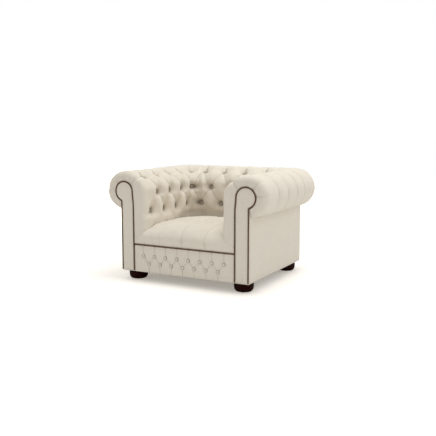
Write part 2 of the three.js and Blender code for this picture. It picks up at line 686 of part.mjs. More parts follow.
// Point of the seat's top at a place across and a share along: -1 at the bottom of its front edge,
// 0 where the crown starts and 1 at the back.
function seatPoint(column, along, inset, seam) {
  const turn = (Math.min(1 + along, 1) * Math.PI) / 2;
  const lean = Math.max(Math.cos(turn), 0);
  const climb = Math.sin(turn) ** SEAT_POWERS.climb;
  const front = (SEAT_FRONT_REACH - inset - SEAT_CROWN_START) * lean ** SEAT_POWERS.front;
  const rear = (SEAT_BACK_EDGE - inset + SEAT_CROWN_START) * Math.max(along, 0);
  const y = -SEAT_CROWN_START - front + rear;
  const wide = seatHalfWidth(y, inset <= 0) - inset;
  const square = SEAT_SQUARE;
  const outer = Math.max(Math.abs(column) - square, 0) / (SEAT_HALF_WIDTH - square);
  const x = Math.sign(column) * (Math.min(Math.abs(column), square) + outer * (wide - square));
  const back = THREE.MathUtils.clamp((y - SEAT_BACK_EDGE + SEAT_BACK_ROUND) / SEAT_BACK_ROUND, 0, 1);
  const crown = seatCrown(x) - SEAT_BACK_DROP * back ** SEAT_POWERS.back - inset;
  const z = THREE.MathUtils.lerp(Math.min(SEAT_FRONT_HEIGHT, crown), crown, climb);
  const drawn = Math.max(
    ...seatSeams.across.map((at) => seamDepth(x - at, seam, SEAM_REACH)),
    ...seatSeams.along.map((at) => seamDepth(y - at, seam, SEAM_REACH)),
  );
  return new THREE.Vector3(x, y + drawn * lean, z - drawn * (1 - lean));
}

// Closed seat form with upright sides, down to a given height. Behind the front lip each point of
// the top has one straight under it.
function seatForm(columns, alongs, inset, seam, bottom) {
  const lipY = -FACING_FRONT + inset + GAP;
  const under = alongs.findIndex((along) => seatPoint(0, along, inset, 0).y > lipY + GAP);
  const lipHeights = bottom < TUCK_HEIGHT ? [bottom, TUCK_HEIGHT] : [bottom];
  const loops = columns.map((column) => {
    const top = alongs.map((along) => seatPoint(column, along, inset, seam));
    const lip = lipHeights.map((z) => new THREE.Vector3(top[0].x, lipY, z));
    const base = top.slice(under).map((p) => new THREE.Vector3(p.x, p.y, bottom));
    return [...lip, ...top, ...base.reverse()];
  });
  const topAt = (row) => lipHeights.length + row;
  const baseAt = (row) => lipHeights.length + 2 * alongs.length - 1 - row;
  const hinge = lipHeights.length - 1;
  const faces = [];
  for (let n = hinge + 1; n < topAt(under); n++) faces.push([hinge, n, n + 1]);
  faces.push([hinge, topAt(under), baseAt(under)]);
  if (hinge > 0) faces.push([hinge, baseAt(under), 0]);
  for (let row = under; row + 1 < alongs.length; row++) {
    const [top, nextTop, base, nextBase] = [topAt(row), topAt(row + 1), baseAt(row), baseAt(row + 1)];
    faces.push([top, nextTop, nextBase], [top, nextBase, base]);
  }
  return loft(loops, null, null, faces);
}

// Columns and rows of the seat. A square has its seam, a shoulder beside it and its crown; the
// side strip ends in a round edge. Rows are shares along, as in seatPoint.
const SQUARE_STEP_SHARES = [0, 0.1, 0.35, 0.65, 0.9, 1];
const STRIP_STEP_SHARES = [0.1, 0.4, 0.8, 0.96, 1];
const SEAM_STEP_SHARES = [-0.35, -0.1, 0, 0.1, 0.35];
const FRONT_EDGE_SHARES = [-1, -0.855, -0.71, -0.565, -0.42, -0.36, -0.3, -0.2, -0.08];
const BACK_EDGE_SHARES = [0.9833, 1];
const LAST_SEAM_SHARE = 0.95;
const LEAST_STEP_SHARE = 0.008;
const halfColumns = [
  ...SQUARE_STEP_SHARES.map((share) => share * SEAT_SQUARE),
  ...STRIP_STEP_SHARES.map((share) => THREE.MathUtils.lerp(SEAT_SQUARE, SEAT_HALF_WIDTH, share)),
];
const seatColumns = [...halfColumns.slice(1).map((x) => -x).reverse(), ...halfColumns];
const seatRowShares = spaced(
  [
    ...FRONT_EDGE_SHARES,
    ...seatSeams.along
      .slice(1)
      .flatMap((y) => SEAM_STEP_SHARES.map((share) => y + share * SEAT_SQUARE))
      .map((y) => (y + SEAT_CROWN_START) / (SEAT_BACK_EDGE + SEAT_CROWN_START))
      .filter((share) => share < LAST_SEAM_SHARE),
    ...BACK_EDGE_SHARES,
  ],
  LEAST_STEP_SHARE,
);

// Columns and rows of the core under the cover, which has no seams
const CORE_COLUMN_SHARES = [-1, -0.6, 0, 0.6, 1];
const CORE_ROW_SHARES = [-1, -0.8067, -0.6133, -0.42, -0.2, 0, 0.4, 0.75, 1];
const coreColumns = CORE_COLUMN_SHARES.map((share) => share * SEAT_HALF_WIDTH);

// Upholstery of arms and back, cut apart at the corner seams

// Thin upright wedge along a corner's seam line, from inside the seat to beyond the roll.
function cornerCut(side) {
  const inner = new THREE.Vector2(INNER_X, INNER_Y);
  const outer = new THREE.Vector2(ROLL_X + ROLL_RADIUS, ROLL_Y + ROLL_RADIUS);
  const run = outer.clone().sub(inner);
  const length = 2 * run.length();
  const cut = new THREE.BoxGeometry(length, CORNER_SEAM, 2 * ROLL_HEIGHT);
  const middle = inner.clone().add(outer).divideScalar(2);
  cut.rotateZ(run.angle()).translate(middle.x, middle.y, ROLL_HEIGHT);
  return solidOf(side < 0 ? cut.scale(-1, 1, 1) : cut);
}

// The three bodies of a U that is cut at both corners: right arm, left arm and back.
function cutAtCorners(solid) {
  const bodies = solid.subtract(cornerCut(1)).subtract(cornerCut(-1)).decompose();
  const kept = bodies.sort((a, b) => b.volume() - a.volume()).slice(0, 3);
  const leftmost = (body) => body.boundingBox().min[0];
  const [left, back, right] = kept.sort((a, b) => leftmost(a) - leftmost(b));
  return { left, back, right };
}

const [SOFT_ROUND_COUNT, FORMER_ROUND_COUNT] = [7, 14];
const PAD_FRONT = -FACING_FRONT + FRONT_PAD;
const SEAM_WALL = ROLL_INSET + 2 * GAP;
const FOAM_SHARE = COVER_DEPTH_SHARE + FOAM_GAP_SHARE;
const CUT_BOTTOM = TUCK_HEIGHT - OVERRUN;
const seatCutter = seatForm(seatColumns, seatRowShares, -SEAT_CUT_CLEARANCE, SEAM_DEPTH, CUT_BOTTOM);
const scrollHole = scrollOutline(GAP, COVER_BOTTOM - OVERRUN);
const scrollCutter = solidOf(alongY(scrollHole, -FACING_FRONT - OVERRUN, PAD_FRONT + GAP, ARC_SEGMENTS));
const covers = cutAtCorners(
  upholsterySolid()
    .subtract(innerU(COVER_DEPTH_SHARE, PAD_FRONT, SEAM_WALL, FOOT_HEIGHT, SOFT_ROUND_COUNT))
    .subtract(scrollCutter)
    .subtract(solidOf(mirrored(scrollCutter)))
    .subtract(seatCutter),
);
addPiece("right_arm_cover", covers.right, "linen");
addPiece("left_arm_cover", covers.left, "linen");
addPiece("back_cover", covers.back, "linen");

const foams = cutAtCorners(
  innerU(FOAM_SHARE, PAD_FRONT + GAP, SEAM_WALL + GAP, TUCK_HEIGHT, SOFT_ROUND_COUNT)
    .subtract(innerU(FORMER_SHARE, -FACING_FRONT, SEAM_WALL + 2 * GAP, FOOT_HEIGHT, FORMER_ROUND_COUNT))
    .subtract(seatCutter),
);
addPiece("right_arm_foam", foams.right, "foam");
addPiece("left_arm_foam", foams.left, "foam");
addPiece("back_foam", foams.back, "foam");

// Facings: keyhole pads with a flat rim for the nails and a crowned middle

function facingPad() {
  const back = -BOARD_FRONT - GAP;
  const plate = alongY(scrollOutline(0, COVER_BOTTOM), -FACING_FRONT, back, ARC_SEGMENTS);
  const crowned = scrollOutline(-TRIM_RIM - FACING_EDGE, COVER_BOTTOM + FACING_EDGE);
  const crown = new THREE.ExtrudeGeometry(crowned, {
    depth: FACING_THICK / 2,
    bevelThickness: FACING_CROWN,
    bevelSize: FACING_EDGE,
    bevelSegments: 1,
    curveSegments: ARC_SEGMENTS,
  });
  crown.rotateX(Math.PI / 2).translate(0, -FACING_FRONT + FACING_THICK / 2, 0);
  return solidOf(plate).add(solidOf(crown));
}
addPair("facing", facingPad(), "linen");

// Nail trims: a low strip of rounded section along the rim of a facing and the top of the border
const TRIM_SECTION_SHARES = [[-1, 0], [-0.62, 0.86], [0.62, 0.86], [1, 0]];

function trimStrip(points, capPlane) {
  const back = -FACING_FRONT - GAP;
  const loops = points.map((point, n) => {
    const before = points[Math.max(n - 1, 0)];
    const after = points[Math.min(n + 1, points.length - 1)];
    const run = after.clone().sub(before).normalize();
    return TRIM_SECTION_SHARES.map(([across, rise]) => {
      const x = point.x + across * TRIM_HALF_WIDTH * run.y;
      const z = point.y - across * TRIM_HALF_WIDTH * run.x;
      return new THREE.Vector3(x, back - rise * TRIM_RISE, z);
    });
  });
  return loft(loops, null, capPlane);
}

function facingTrim() {
  const outline = scrollOutline(-TRIM_INSET, COVER_BOTTOM).getPoints(ARC_SEGMENTS);
  if (outline[0].distanceTo(outline[outline.length - 1]) < GAP) outline.pop();
  const feet = outline.filter((p) => p.y < COVER_BOTTOM + GAP);
  const rest = outline.filter((p) => p.y >= COVER_BOTTOM + GAP);
  const outer = new THREE.Vector2(Math.max(...feet.map((p) => p.x)), COVER_BOTTOM);
  const inner = new THREE.Vector2(Math.min(...feet.map((p) => p.x)), COVER_BOTTOM);
  const path = [outer, ...rest, inner].filter((p, n, all) => n === 0 || p.distanceTo(all[n - 1]) > GAP);
  return trimStrip(path, (p) => new THREE.Vector2(p.x, p.y));
}
addPair("facing_nail_trim", facingTrim(), "nail");

const borderTrimPath = [-1, 1].map((s) => new THREE.Vector2(s * TRIM_EDGE, BORDER_TRIM_HEIGHT));
addPiece("border_nail_trim", trimStrip(borderTrimPath, sidePlane), "nail");

// Front border: pleated from the nails to an upper row of buttons, zigzag to a lower row, and
// pleated down to the bottom edge

const borderPitches = Math.floor((2 * (LEG_INNER - BORDER_END_MARGIN)) / BORDER_PITCH);
const borderUpper = Array.from({ length: borderPitches + 1 }, (_, n) => ({
  x: (n - borderPitches / 2) * BORDER_PITCH,
  z: BORDER_UPPER_HEIGHT,
}));
const borderLower = borderUpper
  .slice(1)
  .map(({ x }) => ({ x: x - BORDER_PITCH / 2, z: BORDER_LOWER_HEIGHT }));
const borderLines = [
  ...borderUpper.map((p) => [p, { x: p.x, z: BORDER_TRIM_HEIGHT }]),
  ...borderLower.map((p) => [p, { x: p.x, z: COVER_BOTTOM }]),
  ...borderLower.flatMap((p, n) => [[p, borderUpper[n]], [p, borderUpper[n + 1]]]),
].map(([a, b]) => new THREE.Line3(new THREE.Vector3(a.x, 0, a.z), new THREE.Vector3(b.x, 0, b.z)));

function borderPoint(x, z) {
  const at = new THREE.Vector3(x, 0, z);
  const nearest = new THREE.Vector3();
  let depth = 0;
  for (const line of borderLines) {
    const near = line.closestPointToPoint(at, true, nearest).distanceTo(at) / BORDER_PLEAT_REACH;
    if (near < 1) depth = Math.max(depth, BORDER_PLEAT_DEPTH * (1 - Math.sqrt(1 - (1 - near) ** 2)));
  }
  return { point: new THREE.Vector3(x, -FACING_FRONT + depth, z), depth };
}

// Steps in one pitch of the border, and between the marks up it
const BORDER_PITCH_COUNT = 4;
const BORDER_ROW_COUNTS = [2, 2, 2, 1];

function borderCover() {
  const top = TUCK_HEIGHT - GAP;
  const edge = LEG_INNER - GAP;
  const reach = (borderPitches / 2) * BORDER_PITCH;
  const across = [-edge, ...steps([-reach, reach], [borderPitches * BORDER_PITCH_COUNT]), edge];
  const heights = [COVER_BOTTOM, BORDER_LOWER_HEIGHT, BORDER_UPPER_HEIGHT, BORDER_TRIM_HEIGHT, top];
  const up = steps(heights, BORDER_ROW_COUNTS);
  const drawn = across.map((x) => up.map((z) => borderPoint(x, z)));
  const back = -FACING_FRONT + BORDER_THICK;
  const loops = drawn.map((row, n) => [
    ...row.map(({ point }) => point),
    new THREE.Vector3(across[n], back, top),
    new THREE.Vector3(across[n], back, COVER_BOTTOM),
  ]);
  const depths = drawn.map((row) => [...row.map(({ depth }) => depth), 0, 0]);
  let solid = loft(loops, depths, sidePlane);
  for (const { x, z } of [...borderUpper, ...borderLower]) {
    const dome = buttonDome(BORDER_BUTTON_RADIUS, BORDER_BUTTON_CROWN);
    solid = solid.add(solidOf(dome.rotateX(Math.PI).translate(x, -FACING_FRONT + BORDER_PLEAT_DEPTH, z)));
  }
  return solid;
}
addPiece("front_border_cover", borderCover(), "linen");

// Seat cover over its foam, and the foam's deck that reaches under the arms and the back
const deckRear = POST_REAR - STAY_THICK - GAP;
const deckAcross = bothWays(PLATFORM_HALF_WIDTH);
const deckAlong = [-FACING_FRONT + BORDER_THICK + GAP, deckRear];
const seatCore = (inset, bottom) => seatForm(coreColumns, CORE_ROW_SHARES, inset, 0, bottom);
const seatCover = seatForm(seatColumns, seatRowShares, 0, SEAM_DEPTH, TUCK_HEIGHT);
addPiece("seat_cover", seatCover.subtract(seatCore(SEAT_COVER_THICK, CUT_BOTTOM)), "linen");
const foamDeck = solidOf(block(deckAcross, deckAlong, [DECK_HEIGHT, TUCK_HEIGHT - GAP]));
addPiece("seat_foam", seatCore(SEAT_COVER_THICK + 3 * GAP, DECK_HEIGHT).add(foamDeck), "foam");
const platformTop = PLATFORM_HEIGHT + PLATFORM_THICK;
addPiece("seat_platform", block(deckAcross, deckAlong, [PLATFORM_HEIGHT, platformTop]), "hessian");

// Outside panels, tucked up under the roll and notched where the rolls meet at the corner
function panelTop(at, notch) {
  if (!notch) return [[at, PANEL_TOP]];
  const inside = at - notch * PANEL_CORNER_NOTCH;
  return [[at, PANEL_TUCK], [inside, PANEL_TUCK], [inside, PANEL_TOP]];
}

function panelOutline(front, rear, frontNotch) {
  const top = [...panelTop(rear, 1), ...panelTop(front, frontNotch).reverse()];
  return polygon([[front, COVER_BOTTOM], [rear, COVER_BOTTOM], ...top]);
}

const sidePanel = panelOutline(-BOARD_FRONT, PANEL_REAR, 0);
const backPanel = panelOutline(...bothWays(PANEL_INSIDE - GAP), -1);
addPair("outside_panel", alongX(sidePanel, PANEL_INSIDE, PANEL_HALF_WIDTH), "linen");
addPiece("back_outside_panel", alongY(backPanel, PANEL_REAR - PANEL_THICK, PANEL_REAR), "linen");

// Timber frame
const timberOuter = PANEL_INSIDE - GAP;
const railInner = timberOuter - RAIL_THICK;
const postInner = timberOuter - POST_WIDTH;
const frontRailFront = -FACING_FRONT + BORDER_THICK + GAP;
const frontRailRear = frontRailFront + RAIL_THICK;

const underBoards = [-BOARD_REAR + GAP, POST_FRONT - GAP];
const railHeights = [FRAME_BOTTOM, RAIL_TOP];
const underTopRail = ROLL_HEIGHT - TOP_RAIL_THICK / 2 - GAP;

const boardOutline = scrollOutline(-2 * GAP, FRAME_BOTTOM, -PANEL_THICK - GAP);
addPair("scroll_board", alongY(boardOutline, -BOARD_FRONT, -BOARD_REAR, ARC_SEGMENTS), "beech");
const postChamfer = Math.min(POST_CHAMFER, RAIL_THICK - GAP);
const postOutline = polygon([
  [postInner, POST_FRONT],
  [timberOuter, POST_FRONT],
  [timberOuter, POST_REAR - postChamfer],
  [timberOuter - postChamfer, POST_REAR],
  [postInner, POST_REAR],
]);
addPair("rear_post", alongZ(postOutline, FRAME_BOTTOM, underTopRail), "beech");
addPair("seat_rail", block([railInner, timberOuter], underBoards, railHeights), "beech");
const frontRail = block(bothWays(LEG_INNER + GAP), [frontRailFront, frontRailRear], railHeights);
addPiece("front_seat_rail", frontRail, "beech");
const rearRail = block(bothWays(postInner - GAP), [POST_FRONT, POST_REAR], railHeights);
addPiece("rear_seat_rail", rearRail, "beech");

// Top rails: planks with eased edges that carry the rolls
function topRailSection(middle) {
  const half = SCROLL_RADIUS - FORMER_THICK - 6 * GAP;
  const rise = TOP_RAIL_THICK / 2;
  const quarter = [[half, (rise - TOP_RAIL_EDGE) / 2], [half - TOP_RAIL_EDGE, rise]];
  const round = [
    ...quarter,
    ...quarter.map(([a, b]) => [-a, b]).reverse(),
    ...quarter.map(([a, b]) => [-a, -b]),
    ...quarter.map(([a, b]) => [a, -b]).reverse(),
  ];
  return polygon(round.map(([a, b]) => [middle + a, ROLL_HEIGHT + b]));
}
const topRailRear = POST_REAR - cornerRadius(SCROLL_RADIUS) * TOP_RAIL_SETBACK_SHARE;
const armTopRail = alongY(topRailSection(ROLL_X), -BOARD_REAR + GAP, topRailRear);
const backTopRailEnds = bothWays(ROLL_X - SCROLL_RADIUS + FORMER_THICK + 2 * GAP);
addPair("arm_top_rail", armTopRail, "beech");
addPiece("back_top_rail", alongX(topRailSection(ROLL_Y), ...backTopRailEnds), "beech");

// Stuffing rails at the height where the covers are tucked in and tacked
const stuffingInset = FORMER_THICK + 3 * GAP;
const stuffingHeights = [TUCK_HEIGHT, TUCK_HEIGHT + STUFFING_RAIL_HEIGHT];
const armStuffing = LEG_INNER + stuffingInset;
const armStuffingAcross = [armStuffing, armStuffing + STUFFING_RAIL_THICK];
const backLeg = ROLL_Y - SCROLL_RADIUS - LEG_FLARE;
const backStuffing = backLeg + stuffingInset;
const backStuffingAlong = [backStuffing, backStuffing + STUFFING_RAIL_THICK];
const backStuffingRail = block(bothWays(armStuffing - GAP), backStuffingAlong, stuffingHeights);
addPair("arm_stuffing_rail", block(armStuffingAcross, underBoards, stuffingHeights), "beech");
addPiece("back_stuffing_rail", backStuffingRail, "beech");

// Formers: bent board over the rails that gives the foam its roll
const BENT_ROUND_COUNT = 12;

function formerOutline(middle) {
  const marks = scrollMarks(BENT_ROUND_COUNT);
  const point = (v, grow) => {
    const { arm, z } = scrollSection(v, grow);
    return [middle + arm, z];
  };
  const [outer, inner] = [-GAP, -GAP - FORMER_THICK];
  return polygon([...marks.map((v) => point(v, outer)), ...marks.map((v) => point(v, inner)).reverse()]);
}
addPair("arm_roll_former", alongY(formerOutline(ROLL_X), -BOARD_REAR + GAP, backLeg - GAP), "board");
addPiece("back_roll_former", alongX(formerOutline(ROLL_Y), ...bothWays(LEG_INNER - GAP)), "board");

// Stays between the rear rail and the back's top rail, midway between two springs
const stayMiddle = (3 * SPRING_PITCH) / 2;
const stayAcross = [stayMiddle - STAY_WIDTH / 2, stayMiddle + STAY_WIDTH / 2];
const stayHeights = [RAIL_TOP + CLIP_BASE + 2 * GAP, underTopRail];
addPair("back_stay", block(stayAcross, [POST_REAR - STAY_THICK, POST_REAR], stayHeights), "beech");

// Corner blocks with the holes of the hanger bolts, the bolts and the feet
const footX = PANEL_HALF_WIDTH - FOOT_SIDE_INSET;
const boltBore = BOLT_RADIUS + GAP;

function drilled(shape, x, y) {
  const hole = new THREE.Path();
  hole.absarc(x, y, boltBore, 0, 2 * Math.PI, false);
  shape.holes.push(hole);
  return shape;
}

function rectangle(x0, x1, y0, y1) {
  return polygon([[x0, y0], [x1, y0], [x1, y1], [x0, y1]]);
}

function footGeometry() {
  const bore = FOOT_HEIGHT - BOLT_IN_FOOT - GAP;
  const belly = steps([0, Math.PI / 2], [FOOT_BELLY_SEGMENTS]).map((turn) => [
    THREE.MathUtils.lerp(FOOT_BASE_RADIUS, FOOT_RADIUS, Math.sin(turn)),
    (FOOT_HEIGHT / 2) * (1 - Math.cos(turn)),
  ]);
  const profile = [
    [0, 0],
    ...belly,
    [FOOT_RADIUS, FOOT_HEIGHT - FOOT_COLLAR],
    [FOOT_RADIUS - FOOT_COLLAR / 2, FOOT_HEIGHT],
    [boltBore, FOOT_HEIGHT],
    [boltBore, bore],
    [0, bore],
  ].map(([out, up]) => new THREE.Vector2(out, up));
  return new THREE.LatheGeometry(profile, FOOT_SEGMENTS).rotateX(Math.PI / 2);
}

const boltLength = BOLT_IN_FOOT + RAIL_LIFT + BOLT_IN_BLOCK;
const boltMiddle = FOOT_HEIGHT - BOLT_IN_FOOT + boltLength / 2;
const blockAcross = [railInner - GAP - BLOCK_WIDTH, railInner - GAP];
const corners = [
  { end: "front", y: -FACING_FRONT + FOOT_FRONT_INSET, from: frontRailRear + GAP },
  { end: "rear", y: PANEL_REAR - FOOT_REAR_INSET, from: POST_FRONT - GAP - BLOCK_DEPTH },
];
for (const { end, y, from } of corners) {
  const outline = drilled(rectangle(...blockAcross, from, from + BLOCK_DEPTH), footX, y);
  const cornerBlock = alongZ(outline, FRAME_BOTTOM, FRAME_BOTTOM + BLOCK_HEIGHT, BORE_SEGMENTS);
  const bolt = new THREE.CylinderGeometry(BOLT_RADIUS, BOLT_RADIUS, boltLength, BOLT_SEGMENTS);
  addPair(end + "_corner_block", cornerBlock, "beech");
  addPair(end + "_hanger_bolt", bolt.rotateX(Math.PI / 2).translate(footX, y, boltMiddle), "steel");
  addPair(end + "_foot", footGeometry().translate(footX, y, 0), "mahogany");
}

const dustCloth = rectangle(-timberOuter, timberOuter, frontRailFront, POST_REAR);
for (const { y } of corners) {
  for (const side of [-1, 1]) drilled(dustCloth, side * footX, y);
}
const dustClothTop = COVER_BOTTOM + DUST_CLOTH_THICK;
addPiece("dust_cloth", alongZ(dustCloth, COVER_BOTTOM, dustClothTop, BORE_SEGMENTS), "dust_cloth");

// Serpentine springs from the front rail to the rear one, hooked in the clips of two strips
const clipFront = frontRailFront + RAIL_THICK / 2;
const clipRear = POST_FRONT + CLIP_DEPTH / 2;

// A wire that swings from side to side; its direction turns through a right angle each way.
function springPath(x) {
  const points = [new THREE.Vector3(0, 0, 0)];
  for (let n = 0; n < SPRING_LOOP_COUNT * HALF_LOOP_SEGMENTS; n++) {
    const angle = (Math.PI / 2) * Math.cos((Math.PI * (n + 1 / 2)) / HALF_LOOP_SEGMENTS);
    const last = points[points.length - 1];
    points.push(last.clone().add(new THREE.Vector3(Math.sin(angle), Math.cos(angle), 0)));
  }
  const scale = (clipRear - clipFront) / points[points.length - 1].y;
  const swing = points.reduce((sum, p) => sum + p.x, 0) / points.length;
  const placed = points.map(
    (p) => new THREE.Vector3(x + (p.x - swing) * scale, clipFront + p.y * scale, SPRING_HEIGHT),
  );
  const hook = new THREE.Vector3(scale / 2, 0, 0);
  const [first, last] = [placed[0].clone().sub(hook), placed[placed.length - 1].clone().add(hook)];
  return [first, ...placed, last];
}

// A wire of four-sided section, point up, swept flat along points.
function wire(points) {
  const loops = points.map((point, n) => {
    const before = points[Math.max(n - 1, 0)];
    const after = points[Math.min(n + 1, points.length - 1)];
    const run = after.clone().sub(before).normalize();
    const side = new THREE.Vector3(run.y, -run.x, 0);
    return [0, 1, 2, 3].map((k) => {
      const turn = (k * Math.PI) / 2;
      const out = point.clone().addScaledVector(side, SPRING_WIRE_RADIUS * Math.cos(turn));
      return out.add(new THREE.Vector3(0, 0, SPRING_WIRE_RADIUS * Math.sin(turn)));
    });
  });
  return loft(loops, null, sidePlane);
}

// Places of the springs across the seat.
const springReach = ((SPRING_COUNT - 1) / 2) * SPRING_PITCH;
const springPlaces = steps([-springReach, springReach], [SPRING_COUNT - 1]);

// Strip along a rail with one folded clip over the end bar of each spring. open is the side of
// the clip that the wire leaves by.
function clipStrip(y, open) {
  const [inner, outer] = [SPRING_WIRE_RADIUS + GAP, SPRING_WIRE_RADIUS + GAP + CLIP_WALL];
  const base = RAIL_TOP + GAP;
  const stripAcross = bothWays(springReach + CLIP_WIDTH / 2);
  const stripAlong = [y - CLIP_DEPTH / 2, y + CLIP_DEPTH / 2];
  let strip = solidOf(block(stripAcross, stripAlong, [base, base + CLIP_BASE]));
  const hook = polygon(
    [
      [-outer, base],
      [-outer, SPRING_HEIGHT + outer],
      [inner, SPRING_HEIGHT + outer],
      [inner, SPRING_HEIGHT + inner],
      [-inner, SPRING_HEIGHT + inner],
      [-inner, base],
    ].map(([across, z]) => [y + open * across, z]),
  );
  for (const x of springPlaces) {
    strip = strip.add(solidOf(alongX(hook, x - CLIP_WIDTH / 2, x + CLIP_WIDTH / 2)));
  }
  return strip;
}
addPiece("front_spring_clips", clipStrip(clipFront, 1), "steel");
addPiece("rear_spring_clips", clipStrip(clipRear, -1), "steel");
springPlaces.forEach((x, n) => addPiece("seat_spring_" + (n + 1), wire(springPath(x)), "steel"));

// Stand the chair with the middle of its box over the origin
const extent = new THREE.Box3().setFromObject(chair);
const centre = extent.getCenter(new THREE.Vector3());
chair.position.set(-centre.x, -centre.y, -extent.min.z);
const part = new THREE.Group();
part.add(chair);

export default part;
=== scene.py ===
"""Finished look of a deep-buttoned club armchair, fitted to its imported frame.

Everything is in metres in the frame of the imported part: X across the chair, -Y out of its front and
Z up from the floor. The padded arms and back, the seat, the buttoned border, the facings and the
outside panels are built here as closed cloth-covered forms, with their nails and buttons as pieces
of their own. The timber, springs and other hidden pieces keep their solids and get a finish.
"""
import json
import logging
import math
from dataclasses import dataclass, field
from enum import Enum
from typing import Iterable, Sequence

import bmesh
import bpy
import numpy as np
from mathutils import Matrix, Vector


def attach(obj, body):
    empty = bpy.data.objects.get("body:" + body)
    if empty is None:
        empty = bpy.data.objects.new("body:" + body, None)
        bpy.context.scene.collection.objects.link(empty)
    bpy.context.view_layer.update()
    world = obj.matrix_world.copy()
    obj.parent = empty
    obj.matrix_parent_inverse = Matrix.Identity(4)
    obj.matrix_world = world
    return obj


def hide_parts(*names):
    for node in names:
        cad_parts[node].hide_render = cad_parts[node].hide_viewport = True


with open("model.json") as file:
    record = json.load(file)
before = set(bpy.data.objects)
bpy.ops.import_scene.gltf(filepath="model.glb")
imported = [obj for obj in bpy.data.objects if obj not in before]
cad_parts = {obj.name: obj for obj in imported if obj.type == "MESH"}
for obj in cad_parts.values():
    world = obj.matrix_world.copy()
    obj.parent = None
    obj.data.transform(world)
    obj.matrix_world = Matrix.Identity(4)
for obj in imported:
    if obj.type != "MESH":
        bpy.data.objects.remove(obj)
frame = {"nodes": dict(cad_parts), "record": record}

LOG = logging.getLogger("armchair")
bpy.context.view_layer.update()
SETBACK = -0.0432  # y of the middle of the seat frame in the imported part
HAIR = 0.0003  # smallest gap or difference that counts
FRONT = 0.407  # way from the middle of the seat frame to the front of border and facings
HEM = 0.0597  # height of the lower edges of border, facings and panels
TUCK = 0.240  # height where the seat and the inner padding are tucked in
TRIM = 0.2332  # height of the border's row of nails
NAIL_PITCH = 0.0112  # way from nail to nail
CLOTH_SHIFT = 0.013  # way on the cloth from one button to the next, so that no two look the same
FOOT_PLACES = {"front": (0.378, -0.3702), "rear": (0.378, 0.2868)}  # x and y on the right, as packed
MIDDLE = (0.3, 0.7)  # part of a noise's values that a tone runs through
MOST = (0.2, 0.8)  # the same for a roughness that changes slowly

Colour = tuple[float, float, float, float]
Pair = tuple[float, float]
Triple = tuple[float, float, float]
Array = np.ndarray
Arrays = tuple[Array, Array]
Piece = bpy.types.Object
Material = bpy.types.Material
Socket = bpy.types.NodeSocket


class Side(Enum):
    """A hand of the chair, seen by someone who faces it."""

    RIGHT = 1
    LEFT = -1

    @property
    def word(self) -> str:
        """Name of the side in the names of pieces."""
        return self.name.lower()


class ThreadPath(Enum):
    """Coordinates that a cloth's threads follow."""

    CLOTH_MAP = "UV"
    SOLID = "Object"


class LampRole(Enum):
    """What a lamp does in the studio."""

    KEY = "key"
    TOP = "top"


# Meshes


def quad_mesh(
    name: str,
    points: Array,
    quads: Array,
    cloth: Array | None = None,
    marks: dict[str, Array] | None = None,
) -> Piece:
    """Makes a smooth mesh object of four-sided faces.

    Args:
        name: Name of the piece.
        points: Corner positions, (n, 3).
        quads: Corner numbers of each face, (m, 4).
        cloth: Flat cloth coordinates of each corner in metres, (n, 2).
        marks: Named numbers kept at each corner, such as how much painted shade it takes.

    Returns:
        The new object, linked to the scene.
    """
    mesh = bpy.data.meshes.new(name)
    mesh.vertices.add(len(points))
    mesh.vertices.foreach_set("co", np.asarray(points, np.float32).ravel())
    flat = np.asarray(quads, np.int32).ravel()
    mesh.loops.add(len(flat))
    mesh.loops.foreach_set("vertex_index", flat)
    mesh.polygons.add(len(quads))
    mesh.polygons.foreach_set("loop_start", np.arange(0, len(flat), 4, dtype=np.int32))
    mesh.polygons.foreach_set("use_smooth", np.ones(len(quads), bool))
    mesh.update(calc_edges=True)
    if cloth is not None:
        layer = mesh.uv_layers.new(name="cloth")
        layer.data.foreach_set("uv", np.asarray(cloth, np.float32)[flat].ravel())
    for mark, values in (marks or {}).items():
        kept = mesh.attributes.new(mark, "FLOAT", "POINT")
        kept.data.foreach_set("value", np.asarray(values, np.float32).ravel())
    made = bpy.data.objects.new(name, mesh)
    bpy.context.scene.collection.objects.link(made)
    return made


def grid_quads(rows: int, columns: int, start: int = 0, turned: bool = False) -> Array:
    """Numbers the faces of a grid of points.

    Args:
        rows: Number of rows of points.
        columns: Number of points in a row.
        start: Number of the first point.
        turned: Whether the faces look the other way.

    Returns:
        Corner numbers, (faces, 4).
    """
    i, j = np.meshgrid(np.arange(rows - 1), np.arange(columns - 1), indexing="ij")
    a = start + (i * columns + j).ravel()
    quads = np.stack([a, a + 1, a + columns + 1, a + columns], axis=1)
    return quads[:, ::-1] if turned else quads


def strip_quads(first: Array, second: Array) -> Array:
    """Joins two rows of corner numbers by faces.

    Args:
        first: Corner numbers along one edge.
        second: Corner numbers along the other.

    Returns:
        Corner numbers, (faces, 4).
    """
    return np.stack([first[:-1], first[1:], second[1:], second[:-1]], axis=1)


def shifted(points: Array) -> Array:
    """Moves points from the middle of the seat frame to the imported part's origin."""
    return points + np.array([0.0, SETBACK, 0.0])


